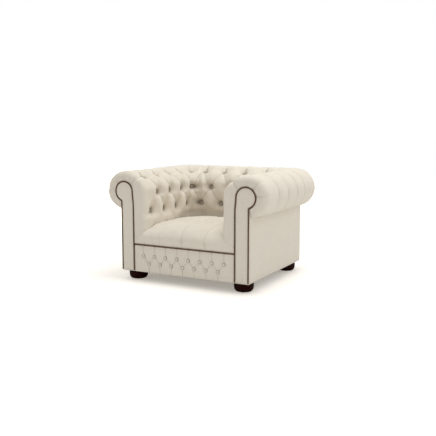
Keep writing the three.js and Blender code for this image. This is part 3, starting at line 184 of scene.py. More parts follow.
def shell(name: str, outer: Array, inner: Array, cloth: Array, painted_shade: Array) -> Piece:
    """Makes a closed padded form from an outer and an inner grid of the same size.

    Args:
        name: Name of the piece.
        outer: Grid of the shown face, from the middle of the seat frame, (rows, columns, 3).
        inner: Grid of the hidden face, likewise.
        cloth: Cloth coordinates of the shown face, (rows, columns, 2).
        painted_shade: Painted shade of each point of the shown face, from 0 to 1, (rows, columns).

    Returns:
        The closed object, with its faces outwards.
    """
    rows, columns = outer.shape[:2]
    count = rows * columns
    points = shifted(np.concatenate([outer.reshape(-1, 3), inner.reshape(-1, 3)]))
    front, rear = np.arange(2 * count).reshape(2, rows, columns)
    quads = np.concatenate(
        [
            grid_quads(rows, columns),
            grid_quads(rows, columns, count, turned=True),
            strip_quads(rear[0], front[0]),
            strip_quads(front[-1], rear[-1]),
            strip_quads(front[:, 0], rear[:, 0]),
            strip_quads(rear[:, -1], front[:, -1]),
        ]
    )
    both = np.concatenate([cloth.reshape(-1, 2)] * 2)
    # The shown face keeps its painted shade, the hidden face none
    marks = {"painted_shade": np.concatenate([painted_shade.ravel(), np.zeros(count)])}
    made = quad_mesh(name, points, quads, both, marks)
    face_outwards(made)
    return made


def face_outwards(piece: Piece, merge: float = 1e-6) -> None:
    """Joins corners that coincide and turns every face outwards.

    Args:
        piece: The mesh object.
        merge: Distance under which two corners are one.
    """
    work = bmesh.new()
    work.from_mesh(piece.data)
    bmesh.ops.remove_doubles(work, verts=work.verts, dist=merge)
    bmesh.ops.dissolve_degenerate(work, edges=work.edges, dist=merge)
    bmesh.ops.recalc_face_normals(work, faces=work.faces)
    work.to_mesh(piece.data)
    work.free()
    piece.data.update()


def crisp(piece: Piece, degrees: float) -> None:
    """Shades edges sharper than an angle as hard ones.

    Args:
        piece: The mesh object.
        degrees: Angle between faces from which an edge is hard.
    """
    piece.data.set_sharp_from_angle(angle=math.radians(degrees))


def lathe(profile: Sequence[Pair], segments: int) -> Arrays:
    """Turns a profile about Z.

    Args:
        profile: Radius and height of each point, from the axis to the axis.
        segments: Number of steps round.

    Returns:
        Points (n, 3) and quads (m, 4) of the closed form.
    """
    turn = np.linspace(0, 2 * math.pi, segments, endpoint=False)
    radius, height = np.array(profile).T[:, :, None]
    rings = np.broadcast_arrays(radius * np.cos(turn), radius * np.sin(turn), height)
    points = np.stack(rings, axis=-1).reshape(-1, 3)
    quads = []
    for ring in range(len(profile) - 1):
        k = np.arange(segments)
        following = (k + 1) % segments
        low, high = ring * segments, (ring + 1) * segments
        quads.append(np.stack([low + k, low + following, high + following, high + k], axis=1))
    return points, np.concatenate(quads)


def copies(name: str, form: Arrays, places: Sequence[Array], mark: str, values: Array) -> Piece:
    """Makes one piece of many placed copies of a small form.

    Args:
        name: Name of the piece.
        form: Points and quads of one copy, standing along Z.
        places: A 3 by 4 matrix for each copy: its three axes and its place.
        mark: Name of the number kept at each corner.
        values: That number at each corner of one copy.

    Returns:
        The joined object.
    """
    points, quads = form
    placed = [points @ m[:, :3].T + m[:, 3] for m in places]
    faces = [quads + n * len(points) for n in range(len(places))]
    cloth = np.concatenate([points[:, :2] + CLOTH_SHIFT * n for n in range(len(places))])
    marks = {mark: np.tile(values, len(places))}
    made = quad_mesh(name, np.concatenate(placed), np.concatenate(faces), cloth, marks)
    face_outwards(made)
    return made


def facing_matrix(place: Array, outwards: Array, spin: float) -> Array:
    """Stands a form's Z axis along a direction.

    Args:
        place: Where the form's origin goes, from the middle of the seat frame.
        outwards: Direction of its Z axis.
        spin: Turn about that axis in radians.

    Returns:
        A 3 by 4 matrix.
    """
    z = outwards / np.linalg.norm(outwards)
    helper = np.array([0.0, 0.0, 1.0]) if abs(z[2]) < 0.9 else np.array([1.0, 0.0, 0.0])
    x = np.cross(helper, z)
    x /= np.linalg.norm(x)
    y = np.cross(z, x)
    turned_x = math.cos(spin) * x + math.sin(spin) * y
    turned_y = np.cross(z, turned_x)
    return np.stack([turned_x, turned_y, z, shifted(place)], axis=1)


def smooth_share(value: Array, low: float, high: float) -> Array:
    """Eased share of the way from low to high.

    Args:
        value: Numbers to place.
        low: Where the share is 0.
        high: Where the share is 1.

    Returns:
        Shares from 0 to 1.
    """
    share = np.clip((value - low) / (high - low), 0, 1)
    return share * share * (3 - 2 * share)


def rounded_most(first: Array, second: Array, blend: float) -> Array:
    """The greater of two depths, with a rounded change from one to the other.

    Args:
        first: Depths.
        second: Depths of the same shape.
        blend: Difference from which the change begins.

    Returns:
        The depths.
    """
    near = np.maximum(blend - np.abs(first - second), 0) / blend
    inside = np.minimum(np.minimum(first, second) / blend, 1)
    return np.maximum(first, second) + near * near * blend / 4 * np.clip(inside, 0, 1)


def angle_round(start: float, v: Array) -> Array:
    """Angle round a section from straight out: start where v is 0, and half a turn from v = 1 on."""
    return start + (math.pi - start) * np.minimum(v, 1)


@dataclass(frozen=True)
class Ripple:
    """Smooth seeded unevenness of stuffed cloth: a sum of waves in many directions.

    length is the typical length of a wave, and spread how much shorter and longer waves may be.
    """

    seed: int
    length: float
    height: float
    waves: int = 24
    spread: Pair = (0.7, 1.6)

    def at(self, points: Array) -> Array:
        """Height of the unevenness.

        Args:
            points: Positions, (..., 3).

        Returns:
            A height for each position, in metres.
        """
        chosen = np.random.default_rng(self.seed)
        direction = chosen.normal(size=(self.waves, 3))
        direction /= np.linalg.norm(direction, axis=1)[:, None]
        lengths = self.length * chosen.uniform(*self.spread, self.waves)
        phases = chosen.uniform(0, 2 * math.pi, self.waves)
        total = np.zeros(points.shape[:-1])
        for wave, phase in zip(direction * (2 * math.pi / lengths)[:, None], phases):
            total += np.sin(points @ wave + phase)
        return total / math.sqrt(self.waves) * self.height


# Finishes


class NodeTree:
    """The nodes of a material or a world, with short ways to add and join them."""

    def __init__(self, owner: Material | bpy.types.World) -> None:
        """Starts with no nodes.

        Args:
            owner: What the nodes belong to.
        """
        owner.use_nodes = True
        self.tree = owner.node_tree
        self.tree.nodes.clear()

    def add(self, kind: str, **settings: object) -> bpy.types.Node:
        """Adds a node.

        Args:
            kind: Its type.
            settings: Properties, or input values by socket name with _ for a space.

        Returns:
            The node.
        """
        node = self.tree.nodes.new(kind)
        for key, value in settings.items():
            if hasattr(node, key):
                setattr(node, key, value)
            else:
                node.inputs[key.replace("_", " ")].default_value = value
        return node

    def fill(self, socket: Socket, value: object) -> None:
        """Links an input to a socket, or sets it to a plain value.

        Args:
            socket: The input.
            value: Socket or plain value.
        """
        if isinstance(value, Socket):
            self.tree.links.new(value, socket)
        else:
            socket.default_value = value

    def number(self, operation: str, *values: object) -> Socket:
        """Adds a Math node.

        Args:
            operation: Name of its operation.
            values: Sockets or plain numbers for its inputs.

        Returns:
            Its output socket.
        """
        node = self.add("ShaderNodeMath", operation=operation)
        for slot, value in enumerate(values):
            self.fill(node.inputs[slot], value)
        return node.outputs[0]

    def blend(self, share: object, first: object, second: object) -> Socket:
        """Mixes two colours.

        Args:
            share: Socket or number: how much of the second.
            first: Socket or colour.
            second: Socket or colour.

        Returns:
            The mixed colour's socket.
        """
        node = self.add("ShaderNodeMix", data_type="RGBA", blend_type="MIX")
        mixed = (node.inputs[0], node.inputs[6], node.inputs[7])
        for socket, value in zip(mixed, (share, first, second)):
            self.fill(socket, value)
        return node.outputs[2]

    def span(
        self, source: Socket, low: float, high: float, start: float, end: float
    ) -> Socket:
        """Maps a range of numbers to another.

        Args:
            source: Socket with the numbers.
            low: Lower end of the range read.
            high: Upper end of the range read.
            start: What low becomes.
            end: What high becomes.

        Returns:
            The mapped socket.
        """
        node = self.add(
            "ShaderNodeMapRange", interpolation_type="SMOOTHSTEP",
            From_Min=low, From_Max=high, To_Min=start, To_Max=end,
        )
        self.fill(node.inputs["Value"], source)
        return node.outputs["Result"]

    def coordinates(self, path: ThreadPath, stretch: Sequence[float] = (1, 1, 1)) -> Socket:
        """Coordinates in metres, stretched along each axis.

        Args:
            path: Which coordinates.
            stretch: Factor along X, Y and Z.

        Returns:
            The vector's socket.
        """
        source = self.add("ShaderNodeTexCoord")
        mapping = self.add("ShaderNodeMapping", Scale=stretch)
        self.fill(mapping.inputs["Vector"], source.outputs[path.value])
        return mapping.outputs["Vector"]

    def noise(self, vector: Socket, scale: float, detail: float = 3.0) -> Socket:
        """Noise from 0 to 1.

        Args:
            vector: Coordinates.
            scale: Number of features in a metre.
            detail: Number of finer layers.

        Returns:
            The noise's socket.
        """
        node = self.add("ShaderNodeTexNoise", Scale=scale, Detail=detail)
        self.fill(node.inputs["Vector"], vector)
        return node.outputs["Fac"]


class Graph(NodeTree):
    """A material's nodes round one principled shader."""

    def __init__(self, name: str) -> None:
        """Starts a material.

        Args:
            name: Name of the material.
        """
        self.material = bpy.data.materials.new(name)
        super().__init__(self.material)
        self.shader = self.add("ShaderNodeBsdfPrincipled")
        output = self.add("ShaderNodeOutputMaterial")
        self.fill(output.inputs["Surface"], self.shader.outputs["BSDF"])

    def feed(self, value: object, name: str) -> None:
        """Links a socket to one of the shader's own inputs, or sets it to a plain value."""
        self.fill(self.shader.inputs[name], value)

    def bumps(self, layers: Iterable[tuple[Socket, float]]) -> None:
        """Stacks height layers into the shader's normal.

        Args:
            layers: Height sockets from 0 to 1, each with its height in metres.
        """
        last = None
        for height, distance in layers:
            node = self.add("ShaderNodeBump", Strength=1.0, Distance=distance)
            self.fill(node.inputs["Height"], height)
            if last is not None:
                self.fill(node.inputs["Normal"], last)
            last = node.outputs["Normal"]
        self.feed(last, "Normal")


def screen_to_linear(value: float) -> float:
    """Linear value of a screen value, both from 0 to 1, by the standard curve of screens."""
    return value / 12.92 if value <= 0.04045 else ((value + 0.055) / 1.055) ** 2.4


def shade(red: float, green: float, blue: float) -> Colour:
    """Colour from screen values, as the linear values that a shader takes.

    Args:
        red: Red from 0 to 255.
        green: Green from 0 to 255.
        blue: Blue from 0 to 255.

    Returns:
        Linear red, green, blue and 1.
    """
    linear = [screen_to_linear(value / 255) for value in (red, green, blue)]
    return (linear[0], linear[1], linear[2], 1.0)


@dataclass(frozen=True)
class LinenFinish:
    """Plain-woven linen with slubs, soft mottling and a dry sheen, and painted shade from a mark at its
    corners.
    """

    name: str = "cream_linen"
    light: Colour = shade(230, 222, 207)
    dark: Colour = shade(219, 210, 195)
    # Colour that the gaps of the weave and the painted shade both darken towards
    weave_and_shade: Colour = shade(112, 99, 86)
    thread: float = 0.0011
    path: ThreadPath = ThreadPath.CLOTH_MAP
    # How far the painted shade may darken the cloth
    painted_shade_share: float = 0.85
    slub_grain: float = 420.0
    slub_range: Pair = (0.52, 0.72)
    slub_stretch: float = 0.04
    slub_share: float = 0.3
    mottle_grain: float = 26.0
    mottle_share: float = 0.22
    cloud_grain: float = 5.0
    cloud_share: float = 0.14
    weave_share: float = 0.07
    roughness: Pair = (0.86, 0.97)
    sheen: float = 0.18
    sheen_roughness: float = 0.55
    gloss: float = 0.25
    heights: Triple = (0.00016, 0.00022, 0.0006)

    def make(self) -> Material:
        """Builds the cloth.

        Returns:
            The material.
        """
        g = Graph(self.name)
        parts = g.add("ShaderNodeSeparateXYZ")
        g.fill(parts.inputs[0], g.coordinates(self.path))
        pitch = math.pi / self.thread
        warp = g.number("SINE", g.number("MULTIPLY", parts.outputs["X"], pitch))
        weft = g.number("SINE", g.number("MULTIPLY", parts.outputs["Y"], pitch))
        weave = g.span(g.number("MULTIPLY", warp, weft), -1, 1, 0, 1)
        along = g.noise(g.coordinates(self.path, (1, self.slub_stretch, 1)), self.slub_grain)
        across = g.noise(g.coordinates(self.path, (self.slub_stretch, 1, 1)), self.slub_grain)
        slubs = g.span(g.number("MAXIMUM", along, across), *self.slub_range, 0, 1)
        mottle = g.noise(g.coordinates(ThreadPath.SOLID), self.mottle_grain, detail=5)
        clouds = g.noise(g.coordinates(ThreadPath.SOLID), self.cloud_grain, detail=2)
        tone = g.blend(g.span(mottle, *MIDDLE, 0, self.mottle_share), self.light, self.dark)
        tone = g.blend(g.span(clouds, *MIDDLE, 0, self.cloud_share), tone, self.dark)
        tone = g.blend(g.number("MULTIPLY", slubs, self.slub_share), tone, self.dark)
        tone = g.blend(g.span(weave, 0, 1, self.weave_share, 0), tone, self.weave_and_shade)
        # Painted shade: the mark at each corner darkens the cloth in pleats, button wells, seams and
        # beside nails
        painted_shade = g.add("ShaderNodeAttribute", attribute_name="painted_shade")
        depth = g.number("MULTIPLY", painted_shade.outputs["Fac"], self.painted_shade_share)
        tone = g.blend(depth, tone, self.weave_and_shade)
        g.feed(tone, "Base Color")
        g.feed(g.span(mottle, *MOST, *self.roughness), "Roughness")
        g.feed(self.sheen, "Sheen Weight")
        g.feed(self.sheen_roughness, "Sheen Roughness")
        g.feed(self.gloss, "Specular IOR Level")
        g.bumps(zip((weave, slubs, mottle), self.heights))
        return g.material


@dataclass(frozen=True)
class NailFinish:
    """Antiqued brass: dark brown in the hollows, with a painted highlight that grows towards the top of
    each dome.
    """

    name: str = "antique_nail"
    dark: Colour = shade(62, 43, 32)
    highlight_tone: Colour = shade(122, 92, 66)
    grain: float = 240.0
    least_highlight: float = 0.35
    roughness: Pair = (0.3, 0.52)
    metal: float = 0.85
    pitting: float = 0.0001

    def make(self) -> Material:
        """Builds the metal.

        Returns:
            The material.
        """
        g = Graph(self.name)
        solid = g.coordinates(ThreadPath.SOLID)
        patina = g.noise(solid, self.grain, detail=4)
        # Painted highlight: brighter towards the top of each dome, by a share that the patina varies
        dome_highlight = g.add("ShaderNodeAttribute", attribute_name="dome_highlight")
        share = g.number("MULTIPLY", dome_highlight.outputs["Fac"], g.span(patina, *MIDDLE, self.least_highlight, 1))
        g.feed(g.blend(share, self.dark, self.highlight_tone), "Base Color")
        g.feed(g.span(patina, *MIDDLE, *self.roughness), "Roughness")
        g.feed(self.metal, "Metallic")
        g.bumps([(patina, self.pitting)])
        return g.material


@dataclass(frozen=True)
class TimberFinish:
    """Wood with growth rings stretched along one axis, polished or bare."""

    name: str
    light: Colour
    dark: Colour
    roughness: float
    polish: float = 0.0
    gloss: float = 0.5
    stretch: Triple = (1.0, 0.12, 1.0)
    rings: float = 55.0
    ring_range: Pair = (0.15, 0.9)
    waver: float = 5.5
    pore_grain: float = 900.0
    pore_range: Pair = (0.55, 0.7)
    pore_share: float = 0.35
    polish_roughness: float = 0.12
    unevenness: float = 0.12
    heights: Pair = (0.00008, 0.00005)

    def make(self) -> Material:
        """Builds the wood.

        Returns:
            The material.
        """
        g = Graph(self.name)
        solid = g.coordinates(ThreadPath.SOLID, self.stretch)
        wave = g.add("ShaderNodeTexWave", Scale=self.rings, Distortion=self.waver, Detail=3.0)
        g.fill(wave.inputs["Vector"], solid)
        pores = g.noise(solid, self.pore_grain, detail=2)
        grain = g.span(wave.outputs["Fac"], *self.ring_range, 0, 1)
        tone = g.blend(grain, self.light, self.dark)
        tone = g.blend(g.span(pores, *self.pore_range, 0, self.pore_share), tone, self.dark)
        g.feed(tone, "Base Color")
        g.feed(g.span(pores, *MIDDLE, self.roughness, self.roughness + self.unevenness), "Roughness")
        g.feed(self.polish, "Coat Weight")
        g.feed(self.polish_roughness, "Coat Roughness")
        g.feed(self.gloss, "Specular IOR Level")
        g.bumps(zip((pores, grain), self.heights))
        return g.material


@dataclass(frozen=True)
class SteelFinish:
    """Zinc-finished steel with fine drawing marks."""

    name: str = "zinc_steel"
    bright: Colour = shade(176, 180, 184)
    dull: Colour = shade(128, 132, 137)
    mark_grain: float = 700.0
    mark_stretch: float = 0.05
    mark_height: float = 0.00004
    bloom_grain: float = 40.0
    bloom_range: Pair = (0.35, 0.65)
    roughness: Pair = (0.28, 0.5)

    def make(self) -> Material:
        """Builds the metal.

        Returns:
            The material.
        """
        g = Graph(self.name)
        drawn = g.coordinates(ThreadPath.SOLID, (1, self.mark_stretch, 1))
        marks = g.noise(drawn, self.mark_grain, detail=2)
        bloom = g.noise(g.coordinates(ThreadPath.SOLID), self.bloom_grain, detail=4)
        g.feed(g.blend(g.span(bloom, *self.bloom_range, 0, 1), self.bright, self.dull), "Base Color")
        g.feed(g.span(bloom, *MIDDLE, *self.roughness), "Roughness")
        g.feed(1.0, "Metallic")
        g.bumps([(marks, self.mark_height)])
        return g.material


@dataclass(frozen=True)
class FibreFinish:
    """Matt pressed or felted stuff: fibre board, wadding, foam or spunbond cloth."""

    name: str
    light: Colour
    dark: Colour
    grain: float
    height: float
    roughness: float = 0.95
    unevenness: float = 0.08
    patch_size: float = 12.0
    cell_rim: float = 0.7
    cell_share: float = 0.3

    def make(self) -> Material:
        """Builds the stuff.

        Returns:
            The material.
        """
        g = Graph(self.name)
        solid = g.coordinates(ThreadPath.SOLID)
        cells = g.add("ShaderNodeTexVoronoi", Scale=self.grain)
        g.fill(cells.inputs["Vector"], solid)
        patches = g.noise(solid, self.grain / self.patch_size, detail=4)
        tone = g.blend(g.span(patches, *MIDDLE, 0, 1), self.light, self.dark)
        rims = g.span(cells.outputs["Distance"], 0, self.cell_rim, 0, self.cell_share)
        g.feed(g.blend(rims, tone, self.dark), "Base Color")
        g.feed(g.span(patches, *MOST, self.roughness - self.unevenness, self.roughness), "Roughness")
        g.bumps([(cells.outputs["Distance"], self.height)])
        return g.material


# Shape of the padding


@dataclass(frozen=True)
class PaddedU:
    """The padded U of arms and back: u runs along it, v round its section.

    u starts at the front of the right arm and ends at the front of the left one. v is 0 at the seam
    under the outside of the roll, 1 at the inner side of the roll and 2 at the tuck beside the seat.
    """

    roll_x: float = 0.425
    roll_y: float = 0.388
    roll_z: float = 0.565
    roll_radius: float = 0.127
    seam_out: float = 0.022
    arm_reach: float = 0.162
    back_reach: float = 0.183
    scroll_radius: float = 0.066
    leg_flare: float = 0.0064
    leg_flare_drop: float = 0.085
    front_rounding: float = 0.035
    corner_arm_start: float = 0.154
    corner_back_start: float = 0.230
    corner_span: float = 0.147
    corner_middle_radius: float = 0.024
    corner_outer_radius: float = 0.148
    corner_inner_radius: float = 0.033
    normal_steps: Pair = (0.0006, 0.004)
    lining_front: float = 0.97
    lining_setback: float = 0.011

    @property
    def middle(self) -> float:
        """u of the middle of the back."""
        return self.corner_span + self.corner_back_start

    @property
    def arm_end(self) -> float:
        """u where the front of an arm begins to round."""
        return self.front_rounding - FRONT - self.corner_arm_start

    @property
    def rim(self) -> float:
        """u of the inner edge of the front rounding, at the facing."""
        return self.arm_end - 2 * self.front_rounding

    @property
    def start_angle(self) -> float:
        """Angle of the seam under the roll, from straight out."""
        return -math.acos(self.seam_out / self.roll_radius)

    def angle_to_v(self, degrees: float) -> float:
        """v at an angle round the roll, from straight out."""
        return (math.radians(degrees) - self.start_angle) / (math.pi - self.start_angle)

    def height_to_v(self, z: float) -> float:
        """v at a height on the inner side, under the roll."""
        return 1 + (self.roll_z - z) / (self.roll_z - TUCK)

    def beside_corner(self, way: float, out: float) -> float:
        """u of a place on the corner's path, a way past its start and out from the middle of the roll.

        Args:
            way: Way past the corner's start.
            out: Way out from the middle of the roll.

        Returns:
            Its u.
        """
        width = self.roll_x + out - self.corner_back_start
        depth = self.roll_y + out - self.corner_arm_start
        radius = min(float(self.corner_radius(np.array(out))), width, depth)
        return way / (width + depth - (2 - math.pi / 2) * radius) * self.corner_span

    def corner_radius(self, out: Array) -> Array:
        """Radius in plan of a rear corner, a way out from the middle of the roll.

        Args:
            out: Way out from the middle of the roll.

        Returns:
            Radii in the shape of out.
        """
        end = np.where(out > 0, self.corner_outer_radius, self.corner_inner_radius)
        share = np.where(out > 0, out / self.roll_radius, -out / self.arm_reach)
        return self.corner_middle_radius + (end - self.corner_middle_radius) * share

    def flare(self, drop: Array) -> Array:
        """How much wider the leg of the scroll is, a drop under the middle of the roll."""
        return self.leg_flare * smooth_share(drop, 0, self.leg_flare_drop)

    def on_right(self, u: Array, v: Array) -> tuple[Array, Array, Array]:
        """Side of each place, 1 on the right half and -1 on the left, and its u and v on the right.

        Args:
            u: Way along the U.
            v: Way round the section.

        Returns:
            Three arrays of one shape.
        """
        u, v = np.broadcast_arrays(np.asarray(u, float), np.asarray(v, float))
        beyond = u > self.middle
        return np.where(beyond, -1.0, 1.0), np.where(beyond, 2 * self.middle - u, u), v

    def plan(self, near: Array, arm: Array, back: Array, z: Array) -> Array:
        """Places a section of the right half in plan.

        Args:
            near: Way along the U, up to its middle.
            arm: Way out from the middle of the roll on an arm.
            back: The same on the back.
            z: Height.

        Returns:
            Points, (..., 3).
        """
        width = self.roll_x + arm - self.corner_back_start
        depth = self.roll_y + back - self.corner_arm_start
        radius = np.minimum(np.minimum(self.corner_radius(arm), width), depth)
        bend = radius * math.pi / 2
        run = near / self.corner_span * (width + depth - 2 * radius + bend)
        before = np.minimum(run, depth - radius)
        turn = np.clip((run - depth + radius) / radius, 0, math.pi / 2)
        after = np.maximum(run - depth + radius - bend, 0)
        x = self.corner_back_start + width - radius + radius * np.cos(turn) - after
        y = self.corner_arm_start + before + radius * np.sin(turn)
        on_arm, on_back = near <= 0, near >= self.corner_span
        x = np.where(on_arm, self.roll_x + arm, np.where(on_back, self.middle - near, x))
        y = np.where(on_arm, self.corner_arm_start + near, np.where(on_back, self.roll_y + back, y))
        return np.stack(np.broadcast_arrays(x, y, z), axis=-1)

    def drop(self, v: Array) -> Array:
        """How far down the inner side v lies under the middle of the roll."""
        return np.maximum(v - 1, 0) * (self.roll_z - TUCK)

    def roll_section(self, v: Array) -> tuple[Array, Array, Array]:
        """Section of the padding: way out on an arm, on the back, and height.

        Args:
            v: Way round the section.

        Returns:
            Three arrays in the shape of v.
        """
        angle = angle_round(self.start_angle, v)
        inner = angle > math.pi / 2
        arm = np.where(inner, self.arm_reach, self.roll_radius) * np.cos(angle)
        back = np.where(inner, self.back_reach, self.roll_radius) * np.cos(angle)
        return arm, back, self.roll_z + self.roll_radius * np.sin(angle) - self.drop(v)

    def scroll_section(self, v: Array) -> Arrays:
        """Section of the scroll under the padding: way out, and height.

        Args:
            v: Way round the section.

        Returns:
            Two arrays in the shape of v.
        """
        angle = angle_round(-math.acos(self.seam_out / self.scroll_radius), v)
        drop = self.drop(v)
        out = self.scroll_radius * np.cos(angle) - self.flare(drop)
        return out, self.roll_z + self.scroll_radius * np.sin(angle) - drop

    def ring(self, u: Array, v: Array) -> Array:
        """Rounded front of the right arm, from the facing's edge to the full padding.

        Args:
            u: Way along the U, up to the arm's end.
            v: Way round the section.

        Returns:
            Points, (..., 3).
        """
        arm, _, z = self.roll_section(v)
        scroll, scroll_z = self.scroll_section(v)
        wide = np.hypot(arm - scroll, z - scroll_z)
        flat = wide - self.front_rounding
        bend = self.front_rounding * math.pi / 2
        run = (1 - (self.arm_end - u) / (2 * self.front_rounding)) * (flat + bend)
        turn = np.maximum(run - flat, 0) / self.front_rounding
        out = np.minimum(run, flat) + self.front_rounding * np.sin(turn)
        share = 1 - out / wide
        x = self.roll_x + arm + (scroll - arm) * share
        y = -FRONT + self.front_rounding * (1 - np.cos(turn))
        return np.stack([x, y, z + (scroll_z - z) * share], axis=-1)

    def point(self, u: Array, v: Array) -> Array:
        """Point of the padding before it is buttoned, (..., 3).

        Args:
            u: Way along the U.
            v: Way round the section.

        Returns:
            Points on either half of the U.
        """
        side, near, v = self.on_right(u, v)
        arm, back, z = self.roll_section(v)
        placed = self.plan(near, arm, back, z)
        front = self.ring(np.minimum(near, self.arm_end), v)
        placed = np.where((near < self.arm_end)[..., None], front, placed)
        placed[..., 0] *= side
        return placed

    def normal(self, u: Array, v: Array) -> Array:
        """Outward direction of the padding, (..., 3).

        Args:
            u: Way along the U.
            v: Way round the section.

        Returns:
            Vectors of length 1.
        """
        step_u, step_v = self.normal_steps
        along_u = self.point(u + step_u, v) - self.point(u - step_u, v)
        along_v = self.point(u, np.minimum(v + step_v, 2)) - self.point(u, np.maximum(v - step_v, 0))
        across = np.cross(along_u, along_v)
        return across / np.linalg.norm(across, axis=-1)[..., None]

    def lining(self, u: Array, v: Array, share: float) -> Array:
        """Hidden side of the padding, a share of the way in to the scroll.

        Args:
            u: Way along the U.
            v: Way round the section.
            share: 0 at the padding, 1 at the scroll.

        Returns:
            Points, (..., 3).
        """
        side, near, v = self.on_right(u, v)
        arm, back, z = self.roll_section(v)
        scroll, scroll_z = self.scroll_section(v)
        front = np.clip((self.arm_end - near) / (2 * self.front_rounding), 0, 1)
        mix = share + (self.lining_front - share) * front
        settled = np.maximum(near, -FRONT + self.lining_setback - self.corner_arm_start)
        arm, back = arm + (scroll - arm) * mix, back + (scroll - back) * mix
        placed = self.plan(settled, arm, back, z + (scroll_z - z) * mix)
        placed[..., 0] *= side
        return placed


@dataclass(frozen=True)
class Pleat:
    """A fold between two places of the padding.

    rise makes it shallower midway by a share of its depth, shade is how dark the painted shade on its
    line is, and line is how many times narrower than its reach that painted line is.
    """

    start: Pair
    end: Pair
    depths: Pair
    reach: float
    rise: float = 0.0
    shade: float = 1.0
    line: float = 10.0


@dataclass(frozen=True)
class TuftButton:
    """A button sunk into the padding."""

    u: float
    v: float
    pull: float
    base: float


